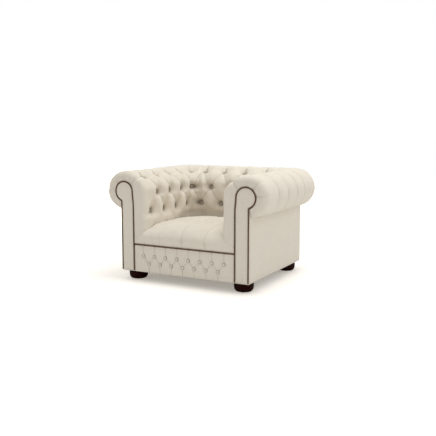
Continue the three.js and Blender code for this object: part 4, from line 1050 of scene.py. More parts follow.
@dataclass
class Tufting:
    """Deep buttoning of the U: three staggered rows of buttons joined by pleats.

    Streaks run up from the top row, the skirt down from the low one, outer folds over the outside of
    the roll and the fan round the scroll. rim_share and the first of low_front count front roundings
    ahead of the arm's end, and its second is a share of front_drop. join_share is the furthest that
    a pleat joins two buttons, in half pitches of the back.
    """

    form: PaddedU
    pitch: float = 0.147
    arm_columns: int = 4
    arm_lead: float = 0.012
    top_degrees: float = 123.0
    streak_degrees: float = 97.0
    crest_degrees: float = 98.0
    brow_degrees: float = 62.0
    middle_height: float = 0.552
    low_height: float = 0.438
    diamond_depth: float = 0.022
    diamond_reach: float = 0.062
    diamond_rise: float = 0.25
    soft_rise: float = 0.6
    soft_shade: float = 0.25
    back_shade: float = 0.7
    puff_power: float = 1.7
    pleat_shade: float = 0.5
    roll_diamond_depth: float = 0.018
    roll_depth: float = 0.010
    seam_depth: float = 0.007
    fade_depth: float = 0.001
    outer_reach: float = 0.034
    outer_shade: float = 2.0
    outer_lag: float = 0.028
    fold_line: float = 10.0
    corner_line: float = 7.5
    streak_reach: float = 0.036
    streak_shade: float = 1.4
    streak_line: float = 4.0
    corner_share: float = 0.4
    skirt_share: float = 0.45
    pull: float = 0.025
    roll_pull: float = 0.021
    corner_pull: float = 0.78
    pull_flat: float = 0.009
    pull_reach: float = 0.066
    pull_power: float = 1.8
    pull_above: float = 0.8
    pull_below: float = 1.15
    shade_reach: float = 0.0105
    blend: float = 0.006
    button_lift: float = 0.0015
    fan_degrees: tuple[Pair, ...] = ((112.0, 0.3), (85.0, 0.5), (47.0, 1.0), (6.0, 1.0))
    front_drop: float = 0.022
    fan_depth: float = 0.007
    fan_reach: float = 0.020
    fan_run: float = 0.045
    front_degrees: float = 132.0
    front_widening: float = 1.6
    rim_share: float = 1.8
    low_front: Pair = (0.3, 0.8)
    low_front_depths: Pair = (0.7, 0.0045)
    join_share: float = 1.2
    section_length: float = 0.33
    run_length: float = 0.012
    margin: float = 0.07
    batch: int = 1500
    buttons: list[TuftButton] = field(init=False)
    painted_shades: tuple[Array, ...] = field(init=False)

    def __post_init__(self) -> None:
        """Lays out the buttons and the folds."""
        self.buttons = self.lay_buttons()
        self.painted_shades = self.lay_folds()

    @property
    def rows(self) -> Triple:
        """v of the three rows, from the roll down.

        Returns:
            Three values of v.
        """
        f = self.form
        heights = (self.middle_height, self.low_height)
        return f.angle_to_v(self.top_degrees), *(f.height_to_v(z) for z in heights)

    @property
    def back_pitch(self) -> float:
        """Way from button to button along the back."""
        return 2 * self.form.corner_back_start / 3

    def places(self, staggered: bool) -> list[float]:
        """u of the buttons of a row.

        Args:
            staggered: Whether the row stands half a pitch off the first.

        Returns:
            u of each button from the right arm to the left one.
        """
        f = self.form
        shift = 0.5 if staggered else 0.0
        count = self.arm_columns - (1 if staggered else 0)
        half = [(n - self.arm_columns + 1 + shift) * self.pitch - self.arm_lead for n in range(count)]
        half.append(f.corner_span / 2)
        half += [f.corner_span + (n + shift) * self.back_pitch for n in range(2)]
        half = [u for u in half if u < f.middle - HAIR]
        centre = [f.middle] if staggered else []
        return half + centre + [2 * f.middle - u for u in reversed(half)]

    def is_corner(self, u: float) -> bool:
        """Whether a button stands at one of the rear corners."""
        f = self.form
        return abs(abs(u - f.middle) - (f.middle - f.corner_span / 2)) < HAIR

    def by_corner(self, u: float) -> bool:
        """Whether a button stands at a rear corner or at the end of the back.

        Args:
            u: The button's u.

        Returns:
            True where it does.
        """
        f = self.form
        near = f.middle - abs(u - f.middle)
        return f.corner_span / 2 - HAIR < near < f.corner_span + HAIR

    def lay_buttons(self) -> list[TuftButton]:
        """Every button of the three rows.

        Returns:
            The buttons, from the top row down.
        """
        top, middle, low = self.rows
        upper, between = self.places(False), self.places(True)
        found = [TuftButton(u, top, self.roll_pull, self.roll_diamond_depth) for u in upper]
        places = [(u, middle) for u in between] + [(u, low) for u in upper if not self.is_corner(u)]
        for u, v in places:
            share = self.corner_pull if self.by_corner(u) else 1.0
            found.append(TuftButton(u, v, self.pull * share, self.diamond_depth))
        return found

    def pleats(self) -> list[Pleat]:
        """Every fold between, above and below the buttons.

        Returns:
            The pleats of both halves.
        """
        f = self.form
        top, middle, low = self.rows
        upper, between = self.places(False), self.places(True)
        lower = [u for u in upper if not self.is_corner(u)]
        near = self.join_share * self.back_pitch / 2
        deep, roll_deep, reach = self.diamond_depth, self.roll_diamond_depth, self.diamond_reach
        found = []
        for b in between:
            for a in (a for a in upper if abs(a - b) < near):
                found.append(Pleat((a, top), (b, middle), (roll_deep, deep), reach, *self.softness(a, b)))
            for a in (a for a in lower if abs(a - b) < near):
                found.append(Pleat((a, low), (b, middle), (deep, deep), reach, *self.softness(b, a)))
        streak_end = f.angle_to_v(self.streak_degrees)
        for a in upper:
            share = self.corner_share if self.is_corner(a) else 1.0
            depths = (roll_deep * (1 + share) / 2, self.fade_depth)
            look = (self.streak_reach, 0.0, self.streak_shade * share, self.streak_line)
            found.append(Pleat((a, top), (a, streak_end), depths, *look))
        found += self.outer_pleats()
        skirt = (deep * self.skirt_share, 0.0)
        found += [Pleat((a, low), (a, 2.0), skirt, reach, 0.0, self.soft_shade) for a in lower]
        for pleat in self.front_pleats():
            other = [(2 * f.middle - u, v) for u, v in (pleat.start, pleat.end)]
            found += [pleat, Pleat(other[0], other[1], pleat.depths, pleat.reach)]
        return found

    def outer_pleats(self) -> list[Pleat]:
        """Folds over the outside of the roll, which stand between the buttons of the top row.

        Returns:
            Three pleats for each fold, end to end.
        """
        f = self.form
        angles = (self.crest_degrees, self.brow_degrees, 0.0)
        heights = [*(f.angle_to_v(degrees) for degrees in angles), 0.0]
        lines = []
        for b in self.places(True):
            on_arm = min(b, 2 * f.middle - b) < 0
            at = b + math.copysign(self.outer_lag, f.middle - b) if on_arm else b
            lines.append((at, self.corner_share if self.is_corner(b) else 1.0, self.fold_line))
        beside = f.beside_corner(self.pitch / 2, f.roll_radius)
        for at in (beside, f.corner_span - beside):
            lines += [(at, 1.0, self.corner_line), (2 * f.middle - at, 1.0, self.corner_line)]
        found = []
        for at, share, line in lines:
            deep = self.roll_depth * share
            depths = (self.fade_depth, deep, deep, self.seam_depth * share)
            look = (self.outer_reach, 0.0, self.outer_shade * share, line)
            for n in range(3):
                found.append(Pleat((at, heights[n]), (at, heights[n + 1]), depths[n : n + 2], *look))
        return found

    def softness(self, upper: float, lower: float) -> Pair:
        """Rise and shade of a pleat: on an arm, one that runs down towards its front is folded shut.

        Args:
            upper: u of its upper end.
            lower: u of its lower end.

        Returns:
            How much shallower it is midway, and how dark its line is.
        """
        f = self.form
        high, deep = abs(upper - f.middle), abs(lower - f.middle)
        if min(high, deep) < f.middle - f.corner_span / 2 - HAIR:
            return self.diamond_rise, self.back_shade
        return (self.diamond_rise, 1.0) if deep < high else (self.soft_rise, self.soft_shade)

    def front_pleats(self) -> list[Pleat]:
        """Folds of the right arm that run over its front to the facing.

        Returns:
            The pleats of that arm alone.
        """
        f = self.form
        top, _, low = self.rows
        first = self.places(False)[0]
        rim = f.arm_end - self.rim_share * f.front_rounding
        wide = self.front_widening * self.fan_reach
        ahead, down = self.low_front
        begin, finish = self.low_front_depths
        upper_end = (rim, f.angle_to_v(self.front_degrees))
        height = self.low_height - down * self.front_drop
        lower_end = (f.arm_end - ahead * f.front_rounding, f.height_to_v(height))
        found = [
            Pleat((first, top), upper_end, (self.roll_diamond_depth, self.fan_depth), wide),
            Pleat((first, low), lower_end, (begin * self.diamond_depth, finish), wide),
        ]
        for degrees, share in self.fan_degrees:
            v = f.angle_to_v(degrees)
            depths = (self.fan_depth * share, 0.0)
            found.append(Pleat((rim, v), (f.arm_end + self.fan_run, v), depths, self.fan_reach))
        return found

    def lay_folds(self) -> tuple[Array, ...]:
        """Folds as short straight runs: starts, ends, depths at both, reaches, shades and narrowness.

        Returns:
            Seven arrays with a row for each run.
        """
        starts, ends, first, second, rest = [], [], [], [], []
        for pleat in self.pleats():
            (u0, v0), (u1, v1) = pleat.start, pleat.end
            rough = abs(u1 - u0) + abs(v1 - v0) * self.section_length
            count = max(int(rough / self.run_length), 2)
            share = np.linspace(0, 1, count + 1)
            line = self.form.point(u0 + (u1 - u0) * share, v0 + (v1 - v0) * share)
            depth = pleat.depths[0] + (pleat.depths[1] - pleat.depths[0]) * share
            depth = depth * (1 - pleat.rise * np.sin(math.pi * share))
            starts.append(line[:-1])
            ends.append(line[1:])
            first.append(depth[:-1])
            second.append(depth[1:])
            rest.append(np.tile([pleat.reach, pleat.shade, pleat.line], (count, 1)))
        parts = [np.concatenate(part) for part in (starts, ends, first, second, rest)]
        return (*parts[:4], *parts[4].T)

    def drawn_in(self, points: Array) -> Arrays:
        """How far the cloth is drawn in.

        Args:
            points: Points of the padding, (n, 3).

        Returns:
            Depth in metres, and painted shade from 0 to 1 along the pleats and round the buttons.
        """
        a, b, *_ = self.painted_shades
        low, high = points.min(0) - self.margin, points.max(0) + self.margin
        kept = np.all((a > low) & (a < high), axis=1)
        a, b, deep_a, deep_b, reach, shades, narrow = (part[kept] for part in self.painted_shades)
        run = b - a
        squared = (run * run).sum(1)
        depth = np.zeros(len(points))
        painted_shade = np.zeros(len(points))
        for start in range(0, len(points), self.batch):
            taken = slice(start, start + self.batch)
            part = points[taken, None, :]
            share = np.clip(((part - a) * run).sum(2) / squared, 0, 1)
            gap = np.linalg.norm(part - a - share[..., None] * run, axis=2) / reach
            deep = deep_a + (deep_b - deep_a) * share
            near = np.clip(1 - gap, 0, 1)
            depth[taken] = (deep * near**self.puff_power).max(1)
            # Painted shade: a dark line along each pleat, darker where the pleat is deeper
            line = shades * np.clip(1 - gap * narrow, 0, 1) * np.minimum(deep / self.roll_depth, 1)
            painted_shade[taken] = self.pleat_shade * line.max(1)
        for button in self.buttons:
            centre = self.form.point(np.array(button.u), np.array(button.v))
            offset = points - centre
            offset[:, 2] *= np.where(offset[:, 2] > 0, self.pull_above, self.pull_below)
            beyond = np.maximum(np.linalg.norm(offset, axis=1) - self.pull_flat, 0)
            near = np.clip(1 - beyond / self.pull_reach, 0, 1)
            depth = rounded_most(depth, (button.pull + button.base) * near**self.pull_power, self.blend)
            # Painted shade in each button's well, darkest at the button
            painted_shade = np.maximum(painted_shade, np.exp(-((beyond / self.shade_reach) ** 2)))
        return depth, painted_shade

    def seat_of(self, button: TuftButton) -> Arrays:
        """Place and outward direction of a button's base.

        Args:
            button: The button.

        Returns:
            Two vectors.
        """
        u, v = np.array(button.u), np.array(button.v)
        normal = self.form.normal(u, v)
        return self.form.point(u, v) - normal * (button.pull + button.base - self.button_lift), normal


def arc_lengths(grid: Array) -> Array:
    """Cloth coordinates of a grid from the lengths along its rows and columns.

    Args:
        grid: Points, (rows, columns, 3).

    Returns:
        Coordinates in metres, (rows, columns, 2).
    """
    rows, columns = grid.shape[:2]
    down = np.linalg.norm(np.diff(grid, axis=0), axis=2).mean(1)
    along = np.linalg.norm(np.diff(grid, axis=1), axis=2).mean(0)
    x = np.concatenate([[0], np.cumsum(down)])
    y = np.concatenate([[0], np.cumsum(along)])
    return np.stack(np.broadcast_arrays(x[:, None], y[None, :]), axis=-1).reshape(rows, columns, 2)


@dataclass(frozen=True)
class CoveredButton:
    """A cloth-covered button, standing along Z.

    sink is how deep its shank goes in, the number after it the least painted shade on its cloth, for a
    button deep in a hollow, edge the height of its edge as a share of the crown, and neck the radii of
    the shank and the neck as shares of its own. Last comes the painted shade on each ring of corners.
    """

    radius: float
    crown: float
    sink: float
    least_painted_shade: float = 0.0
    edge: float = 0.25
    neck: Pair = (0.72, 0.86)
    segments: int = 20
    fold_rings: tuple[float, ...] = (1.0, 1.0, 1.0, 0.6, 0.25, 0.05, 0.0, 0.0, 0.0)

    def form(self) -> tuple[Arrays, Array]:
        """Points and quads, and the painted shade of each corner.

        Returns:
            Its form, and a number for each corner.
        """
        shank, neck = (self.radius * share for share in self.neck)
        below = [(0.0, -self.sink), (shank, -self.sink), (neck, 0.0)]
        edge, rise = self.crown * self.edge, self.crown * (1 - self.edge)
        turns = np.linspace(0, math.pi / 2, len(self.fold_rings) - len(below))
        dome = [(self.radius * math.cos(t), edge + rise * math.sin(t)) for t in turns]
        # Painted shade: darkest round the shank and the neck, fading to none on the top of the dome
        painted_shade = np.repeat(self.fold_rings, self.segments)
        return lathe([*below, *dome], self.segments), np.maximum(painted_shade, self.least_painted_shade)


@dataclass
class RolledUpholstery:
    """Cloth-covered padding of an arm or of the back, with its buttons."""

    tufting: Tufting
    name: str
    stands_for: tuple[str, ...]
    first: float
    last: float
    seed: int
    step: float = 0.0042
    lining_share: float = 0.62
    # These buttons sit deep in wells, so their cloth takes at least 0.6 of painted shade all over
    button: CoveredButton = CoveredButton(0.0108, 0.0055, 0.006, 0.6)
    button_spin: float = 0.7
    ripple: Pair = (0.07, 0.0009)
    quiet_edge: float = 0.02
    tight: float = 0.9
    samples: int = 4000
    round_length: float = 0.138
    groove_depth: float = 0.004
    groove_reach: float = 0.006
    groove_scale: float = 0.6
    hollow: float = 0.034
    hollow_top: float = 0.442
    hollow_fall: float = 0.08
    hollow_from: float = -0.30
    ring_swell: float = 0.009
    ring_lift: float = 0.011
    ring_run: float = 0.16
    ring_draw: float = 0.006
    ring_draw_from: float = 0.39
    ring_draw_rise: float = 0.05
    under_from: float = 0.35
    corner_dense: float = 2.9

    def grid(self) -> Arrays:
        """u and v of the shown face, closer together round a corner, where the outside is longer.

        Returns:
            Two grids, (along the U, round the section).
        """
        step = self.step * 1
        f = self.tufting.form
        fine = np.linspace(self.first, self.last, self.samples)
        near = self.from_front(fine)
        turning = (near > 0) & (near < f.corner_span)
        run = np.cumsum(np.where(turning, self.corner_dense, 1.0)) * (fine[1] - fine[0]) / step
        u = np.interp(np.linspace(run[0], run[-1], int(run[-1] - run[0]) + 2), run, fine)
        round_count = int((math.pi - f.start_angle) * self.round_length / step)
        down_count = int((f.roll_z - TUCK) / step)
        turn = np.linspace(0, 1, round_count, endpoint=False)
        v = np.concatenate([turn, np.linspace(1, 2, down_count)])
        return np.meshgrid(u, v, indexing="ij")

    def build(self) -> Piece:
        """Builds the padded form.

        Returns:
            The closed object.
        """
        u, v = self.grid()
        f = self.tufting.form
        bare = f.point(u, v)
        height = bare[..., 2]
        # How far each point is drawn in, and its painted shade in pleats and wells
        depth, painted_shade = self.tufting.drawn_in(bare.reshape(-1, 3))
        depth, painted_shade = depth.reshape(u.shape), painted_shade.reshape(u.shape)
        edge = self.quiet_edge
        quiet = smooth_share(u - self.first, 0, edge) * smooth_share(self.last - u, 0, edge)
        loose = Ripple(self.seed, *self.ripple).at(bare) * quiet
        depth = depth + self.seam_groove(v) + self.undercut(u, height) - self.swell(u, v, height)
        drawn = bare - f.normal(u, v) * (depth - loose)[..., None]
        lining = f.lining(u, v, self.lining_share)
        made = shell(self.name, drawn, lining, arc_lengths(bare), painted_shade)
        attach(made, "root")
        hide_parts(*self.stands_for)
        return made

    def seam_groove(self, v: Array) -> Array:
        """How far the padding turns in at the seam under the roll, so that it reads as a fine groove."""
        way = np.minimum(v * self.groove_scale, 1.0) / self.groove_reach
        return self.groove_depth * np.exp(-(way**2))

    def from_front(self, u: Array) -> Array:
        """Way along the U from the front of whichever arm is nearer."""
        return np.minimum(u, 2 * self.tufting.form.middle - u)

    def undercut(self, u: Array, z: Array) -> Array:
        """How far the padding falls back under its lowest buttons, behind the seat."""
        behind = smooth_share(self.from_front(u), self.hollow_from, self.tufting.form.corner_span / 2)
        return self.hollow * behind * smooth_share(self.hollow_top - z, 0, self.hollow_fall)

    def swell(self, u: Array, v: Array, z: Array) -> Array:
        """How far the padding swells out round the front of an arm, less what it is drawn up under it.

        Args:
            u: Way along the U.
            v: Way round the section.
            z: Height.

        Returns:
            Metres outwards, in the shape of u.
        """
        f = self.tufting.form
        near = self.from_front(u)
        faded = 1 - smooth_share(near, f.arm_end, f.arm_end + self.ring_run)
        turn = angle_round(f.start_angle, v)
        under = smooth_share(-np.sin(turn), self.under_from, 1.0)
        above = smooth_share(z, self.ring_draw_from, self.ring_draw_from + self.ring_draw_rise)
        draw = self.ring_draw * np.clip(-np.cos(turn), 0, 1) * above
        swell = self.ring_swell * np.clip(np.cos(turn), 0, 1)
        return smooth_share(near, f.rim, f.arm_end) * faded * (swell - self.ring_lift * under - draw)

    def owned(self) -> list[TuftButton]:
        """Buttons that stand on this piece."""
        return [b for b in self.tufting.buttons if self.first - HAIR <= b.u < self.last - HAIR]

    def build_buttons(self) -> Piece:
        """Builds the covered buttons.

        Returns:
            One object with all buttons of this piece.
        """
        form, painted_shade = self.button.form()
        places = []
        for n, button in enumerate(self.owned()):
            seat, outwards = self.tufting.seat_of(button)
            places.append(facing_matrix(seat, outwards, self.button_spin * n))
        made = copies(self.name.replace("upholstery", "buttons"), form, places, "painted_shade", painted_shade)
        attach(made, "root")
        return made


# Seat, border, facings, nails and panels


@dataclass
class Seat:
    """Sprung seat, crowned, stitched in squares and rolled over the front edge."""

    half_width: float = 0.2615
    front_reach: float = 0.427
    front_height: float = 0.286
    crown: float = 0.381
    side_drop: float = 0.022
    side_power: float = 2.2
    shoulder_drop: float = 0.064
    shoulder_power: float = 1.2
    shoulder_end: float = 0.3526
    crown_start: float = 0.240
    back_edge: float = 0.197
    back_drop: float = 0.048
    back_round: float = 0.290
    back_power: float = 3.2
    bulge_end: float = 0.5
    square: float = 0.160
    seam_front: float = 0.180
    seam_depth: float = 0.0065
    seam_reach: float = 0.036
    seam_power: float = 2.2
    # Half width and darkness of the painted shade down each seam's groove; one seam is fainter in depth
    # and shade
    seam_shade_width: float = 0.0022
    seam_shade: float = 0.26
    faint_seam: float = 0.45
    flare_start: float = 0.345
    flare_to: float = 0.3507
    thick: float = 0.014
    ripple: Ripple = Ripple(23, 0.06, 0.0011)
    ripple_start: Pair = (0.29, 0.34)
    lip_rows: int = 12
    lip_power: float = 0.9
    step: float = 0.004
    cloth_lengths: Triple = (0.66, 0.26, 0.437)

    def width_at(self, y: Array) -> Array:
        """Half width of the seat, which flares in front of the arms."""
        flare = smooth_share(-y, self.flare_start, FRONT)
        return self.half_width + (self.flare_to - self.half_width) * flare

    def crown_at(self, x: Array) -> Array:
        """Height of the crown across the seat.

        Args:
            x: Place across.

        Returns:
            Heights in the shape of x.
        """
        side = np.minimum(np.abs(x) / self.half_width, 1)
        shoulder = np.maximum(np.abs(x) - self.half_width, 0) / (self.shoulder_end - self.half_width)
        fall = self.shoulder_drop * shoulder**self.shoulder_power
        return self.crown - self.side_drop * side**self.side_power - fall

    def seams(self, x: Array, y: Array) -> Arrays:
        """Depth of the stitched squares, and the painted shade down the groove of each seam.

        Args:
            x: Place across.
            y: Place from front to rear.

        Returns:
            Two arrays in the shape of x.
        """
        gaps = [np.abs(x + self.square), np.abs(x), np.abs(x - self.square)]
        gaps += [np.abs(y + self.seam_front - n * self.square) for n in range(3)]
        deep, seam = np.zeros_like(gaps[0]), np.zeros_like(gaps[0])
        for gap, share in zip(gaps, (self.faint_seam, 1, 1, 1, 1, 1)):
            near = np.clip(1 - gap / self.seam_reach, 0, 1)
            deep = np.maximum(deep, share * self.seam_depth * near**self.seam_power)
            # Painted shade: a dark line down the groove of each seam
            seam = np.maximum(seam, share * self.seam_shade * np.exp(-((gap / self.seam_shade_width) ** 2)))
        return deep, seam

    def top(self, column: Array, along: Array, inset: float) -> Arrays:
        """Points of the seat's top.

        Args:
            column: Place across, in metres of the unflared width.
            along: -1 at the bottom of the front edge, 0 where the crown starts, 1 at the back.
            inset: How far inside the shown face.

        Returns:
            Points, and the painted shade along the seams.
        """
        end = np.maximum(np.abs(column) - self.square, 0) / (self.half_width - self.square)
        middle = 1 - smooth_share(end, self.bulge_end, 1)
        bulge = (self.front_reach - FRONT - HAIR) * middle
        front = FRONT + HAIR + bulge - inset
        turn = np.clip(1 + along, 0, 1) * math.pi / 2
        y_front = -self.crown_start - (front - self.crown_start) * np.cos(turn)
        y_top = -self.crown_start + (self.back_edge - inset + self.crown_start) * np.maximum(along, 0)
        y = np.where(along < 0, y_front, y_top)
        climb = np.where(along < 0, np.sin(turn), 1.0)
        wide = self.width_at(y) - inset
        x = np.sign(column) * (np.minimum(np.abs(column), self.square) + end * (wide - self.square))
        rear = np.clip((y - self.back_edge + self.back_round) / self.back_round, 0, 1)
        crown = self.crown_at(x) - self.back_drop * rear**self.back_power - inset
        z = np.minimum(self.front_height, crown) * (1 - climb) + crown * climb
        deep, seam = self.seams(x, y)
        if inset > 0:
            deep = np.zeros_like(deep)
        lean = np.where(along < 0, np.cos(turn), 0.0)
        return np.stack([x, y + deep * lean, z - deep * (1 - lean)], axis=-1), seam

    def build(self) -> Piece:
        """Builds the seat.

        Returns:
            The closed object.
        """
        step = self.step * 1
        across, front, rear = (int(length / step) for length in self.cloth_lengths)
        columns = np.linspace(-self.half_width, self.half_width, across)
        rolled = np.linspace(-1, 0, front, endpoint=False)
        rest = np.linspace(0, 1, rear)
        along, column = np.meshgrid(np.concatenate([rolled, rest]), columns, indexing="ij")
        outer, seam = self.top(column, along, 0.0)
        inner, _ = self.top(column, along, self.thick)
        outer, inner, seam = self.with_lip(outer, inner, seam)
        outer[..., 2] += self.ripple.at(outer) * smooth_share(outer[..., 2], *self.ripple_start)
        made = shell("seat_upholstery", outer, inner, arc_lengths(outer), seam)
        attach(made, "root")
        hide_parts("seat_cover", "seat_foam")
        return made

    def with_lip(self, outer: Array, inner: Array, seam: Array) -> tuple[Array, Array, Array]:
        """Adds the front fall of the cloth, tucked down behind the border's nails.

        Args:
            outer: Grid of the shown face.
            inner: Grid of the hidden face.
            seam: Painted shade along the seams.

        Returns:
            The three grids with the fall's rows first.
        """
        share = np.linspace(0, 1, self.lip_rows, endpoint=False)[:, None]
        x, y, z = outer[0].T[:, None, :]
        climb = np.sin(share * math.pi / 2)
        y = -FRONT + HAIR + (y + FRONT) * climb**self.lip_power
        lip = np.stack(np.broadcast_arrays(x, y, TUCK + (z - TUCK) * share), axis=-1)
        x, _, z = inner[0].T[:, None, :]
        y = np.array(-FRONT + self.thick + HAIR)
        behind = np.stack(np.broadcast_arrays(x, y, TUCK + (z - TUCK) * share), axis=-1)
        deep, stitched = self.seams(lip[..., 0], np.full(lip.shape[:2], -self.seam_front - self.square))
        lip[..., 1] += deep * climb
        joined = ((lip, outer), (behind, inner), (stitched, seam))
        return tuple(np.concatenate(pair) for pair in joined)


@dataclass
class FrontBorder:
    """Buttoned border under the seat, pleated between two rows of small buttons."""

    half_width: float = 0.3521
    top: float = 0.2394
    thick: float = 0.013
    pitch: float = 0.0812
    upper: float = 0.164
    lower: float = 0.116
    pleat_depth: float = 0.0065
    pleat_reach: float = 0.022
    pull: float = 0.0005
    pull_flat: float = 0.0078
    pull_reach: float = 0.0065
    end_share: float = 0.85
    # line_shades and well_shade set the painted shade of the pleats and of the buttons' wells
    line: float = 7.0
    line_shades: Pair = (0.25, 0.36)
    blend: float = 0.002
    well_shade: float = 0.7
    well_power: float = 3.0
    bulge: float = 0.003
    bulge_side: float = 0.05
    bulge_rise: float = 0.03
    edge_side: float = 0.006
    edge_foot: float = 0.004
    edge_turn: float = 0.003
    ripple: Ripple = Ripple(31, 0.05, 0.0005)
    count: int = 8
    button: CoveredButton = CoveredButton(0.0092, 0.0052, 0.003)
    button_spin: float = 0.4
    button_lift: float = 0.0012
    step: float = 0.0024

    def button_places(self) -> tuple[list[Pair], list[Pair]]:
        """x and z of the upper and the lower row of buttons.

        Returns:
            Two lists of places.
        """
        middle = (self.count - 1) / 2
        upper = [((n - middle) * self.pitch, self.upper) for n in range(self.count)]
        lower = [(x - self.pitch / 2, self.lower) for x, _ in upper[1:]]
        return upper, lower

    def lines(self) -> list[tuple[Pair, Pair, float]]:
        """Folds as start, end and depth.

        Returns:
            A start, an end and a depth for each fold.
        """
        upper, lower = self.button_places()
        found = [(p, (p[0], TRIM), self.pleat_depth * self.end_share) for p in upper]
        found += [(p, (p[0], HEM), self.pleat_depth * self.end_share) for p in lower]
        for n, p in enumerate(lower):
            found += [(p, upper[n], self.pleat_depth), (p, upper[n + 1], self.pleat_depth)]
        return found

    def build(self) -> Piece:
        """Builds the pleated cloth.

        Returns:
            The closed object.
        """
        step = self.step * 1
        x = np.linspace(-self.half_width, self.half_width, int(2 * self.half_width / step))
        z = np.linspace(HEM, self.top, int((self.top - HEM) / step))
        x, z = np.meshgrid(x, z, indexing="ij")
        depth = np.zeros_like(x)
        painted_shade = np.zeros_like(x)
        for (x0, z0), (x1, z1), deep in self.lines():
            run = np.array([x1 - x0, z1 - z0])
            share = np.clip(((x - x0) * run[0] + (z - z0) * run[1]) / (run @ run), 0, 1)
            gap = np.hypot(x - x0 - share * run[0], z - z0 - share * run[1]) / self.pleat_reach
            near = np.clip(1 - gap, 0, 1)
            depth = np.maximum(depth, deep * (1 - np.sqrt(1 - near**2)))
            # Painted shade: a dark line along each pleat, darker on the upright ones
            slanting, upright = self.line_shades
            line = np.clip(1 - gap * self.line, 0, 1)
            painted_shade = np.maximum(painted_shade, line * (slanting if run[0] else upright))
        upper, lower = self.button_places()
        for bx, bz in upper + lower:
            slope = np.maximum(np.hypot(x - bx, z - bz) - self.pull_flat, 0) / self.pull_reach
            well = (self.pleat_depth + self.pull) * np.exp(-slope * slope)
            depth = rounded_most(depth, well, self.blend)
            # Painted shade round each button's well
            painted_shade = np.maximum(painted_shade, self.well_shade * np.exp(-slope * slope * self.well_power))
        flat = np.stack([x, np.full_like(x, -FRONT), z], axis=-1)
        side, foot = self.half_width - np.abs(x), z - HEM
        edge = smooth_share(side, 0, self.edge_side) * smooth_share(foot, 0, self.edge_foot)
        ripple = self.ripple.at(flat) * edge
        outer = flat.copy()
        proud = self.bulge * smooth_share(side, self.edge_foot, self.bulge_side)
        under_trim = smooth_share(TRIM - z, self.edge_foot, self.bulge_rise)
        proud *= smooth_share(foot, 0, self.bulge_rise) * under_trim
        outer[..., 1] += depth + self.edge_turn * (1 - edge) - ripple + HAIR - proud
        inner = flat.copy()
        inner[..., 1] = -FRONT + self.thick
        made = shell("front_border_upholstery", outer, inner, flat[..., [0, 2]], painted_shade)
        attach(made, "root")
        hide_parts("front_border_cover")
        return made

    def build_buttons(self) -> Piece:
        """Builds the small covered buttons.

        Returns:
            One object with all of them.
        """
        form, painted_shade = self.button.form()
        upper, lower = self.button_places()
        depth = -FRONT + self.pleat_depth + self.pull - self.button_lift - self.bulge
        ahead = np.array([0.0, -1.0, 0.0])
        places = [
            facing_matrix(np.array([x, depth, z]), ahead, self.button_spin * n)
            for n, (x, z) in enumerate(upper + lower)
        ]
        made = copies("front_border_buttons", form, places, "painted_shade", painted_shade)
        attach(made, "root")
        return made


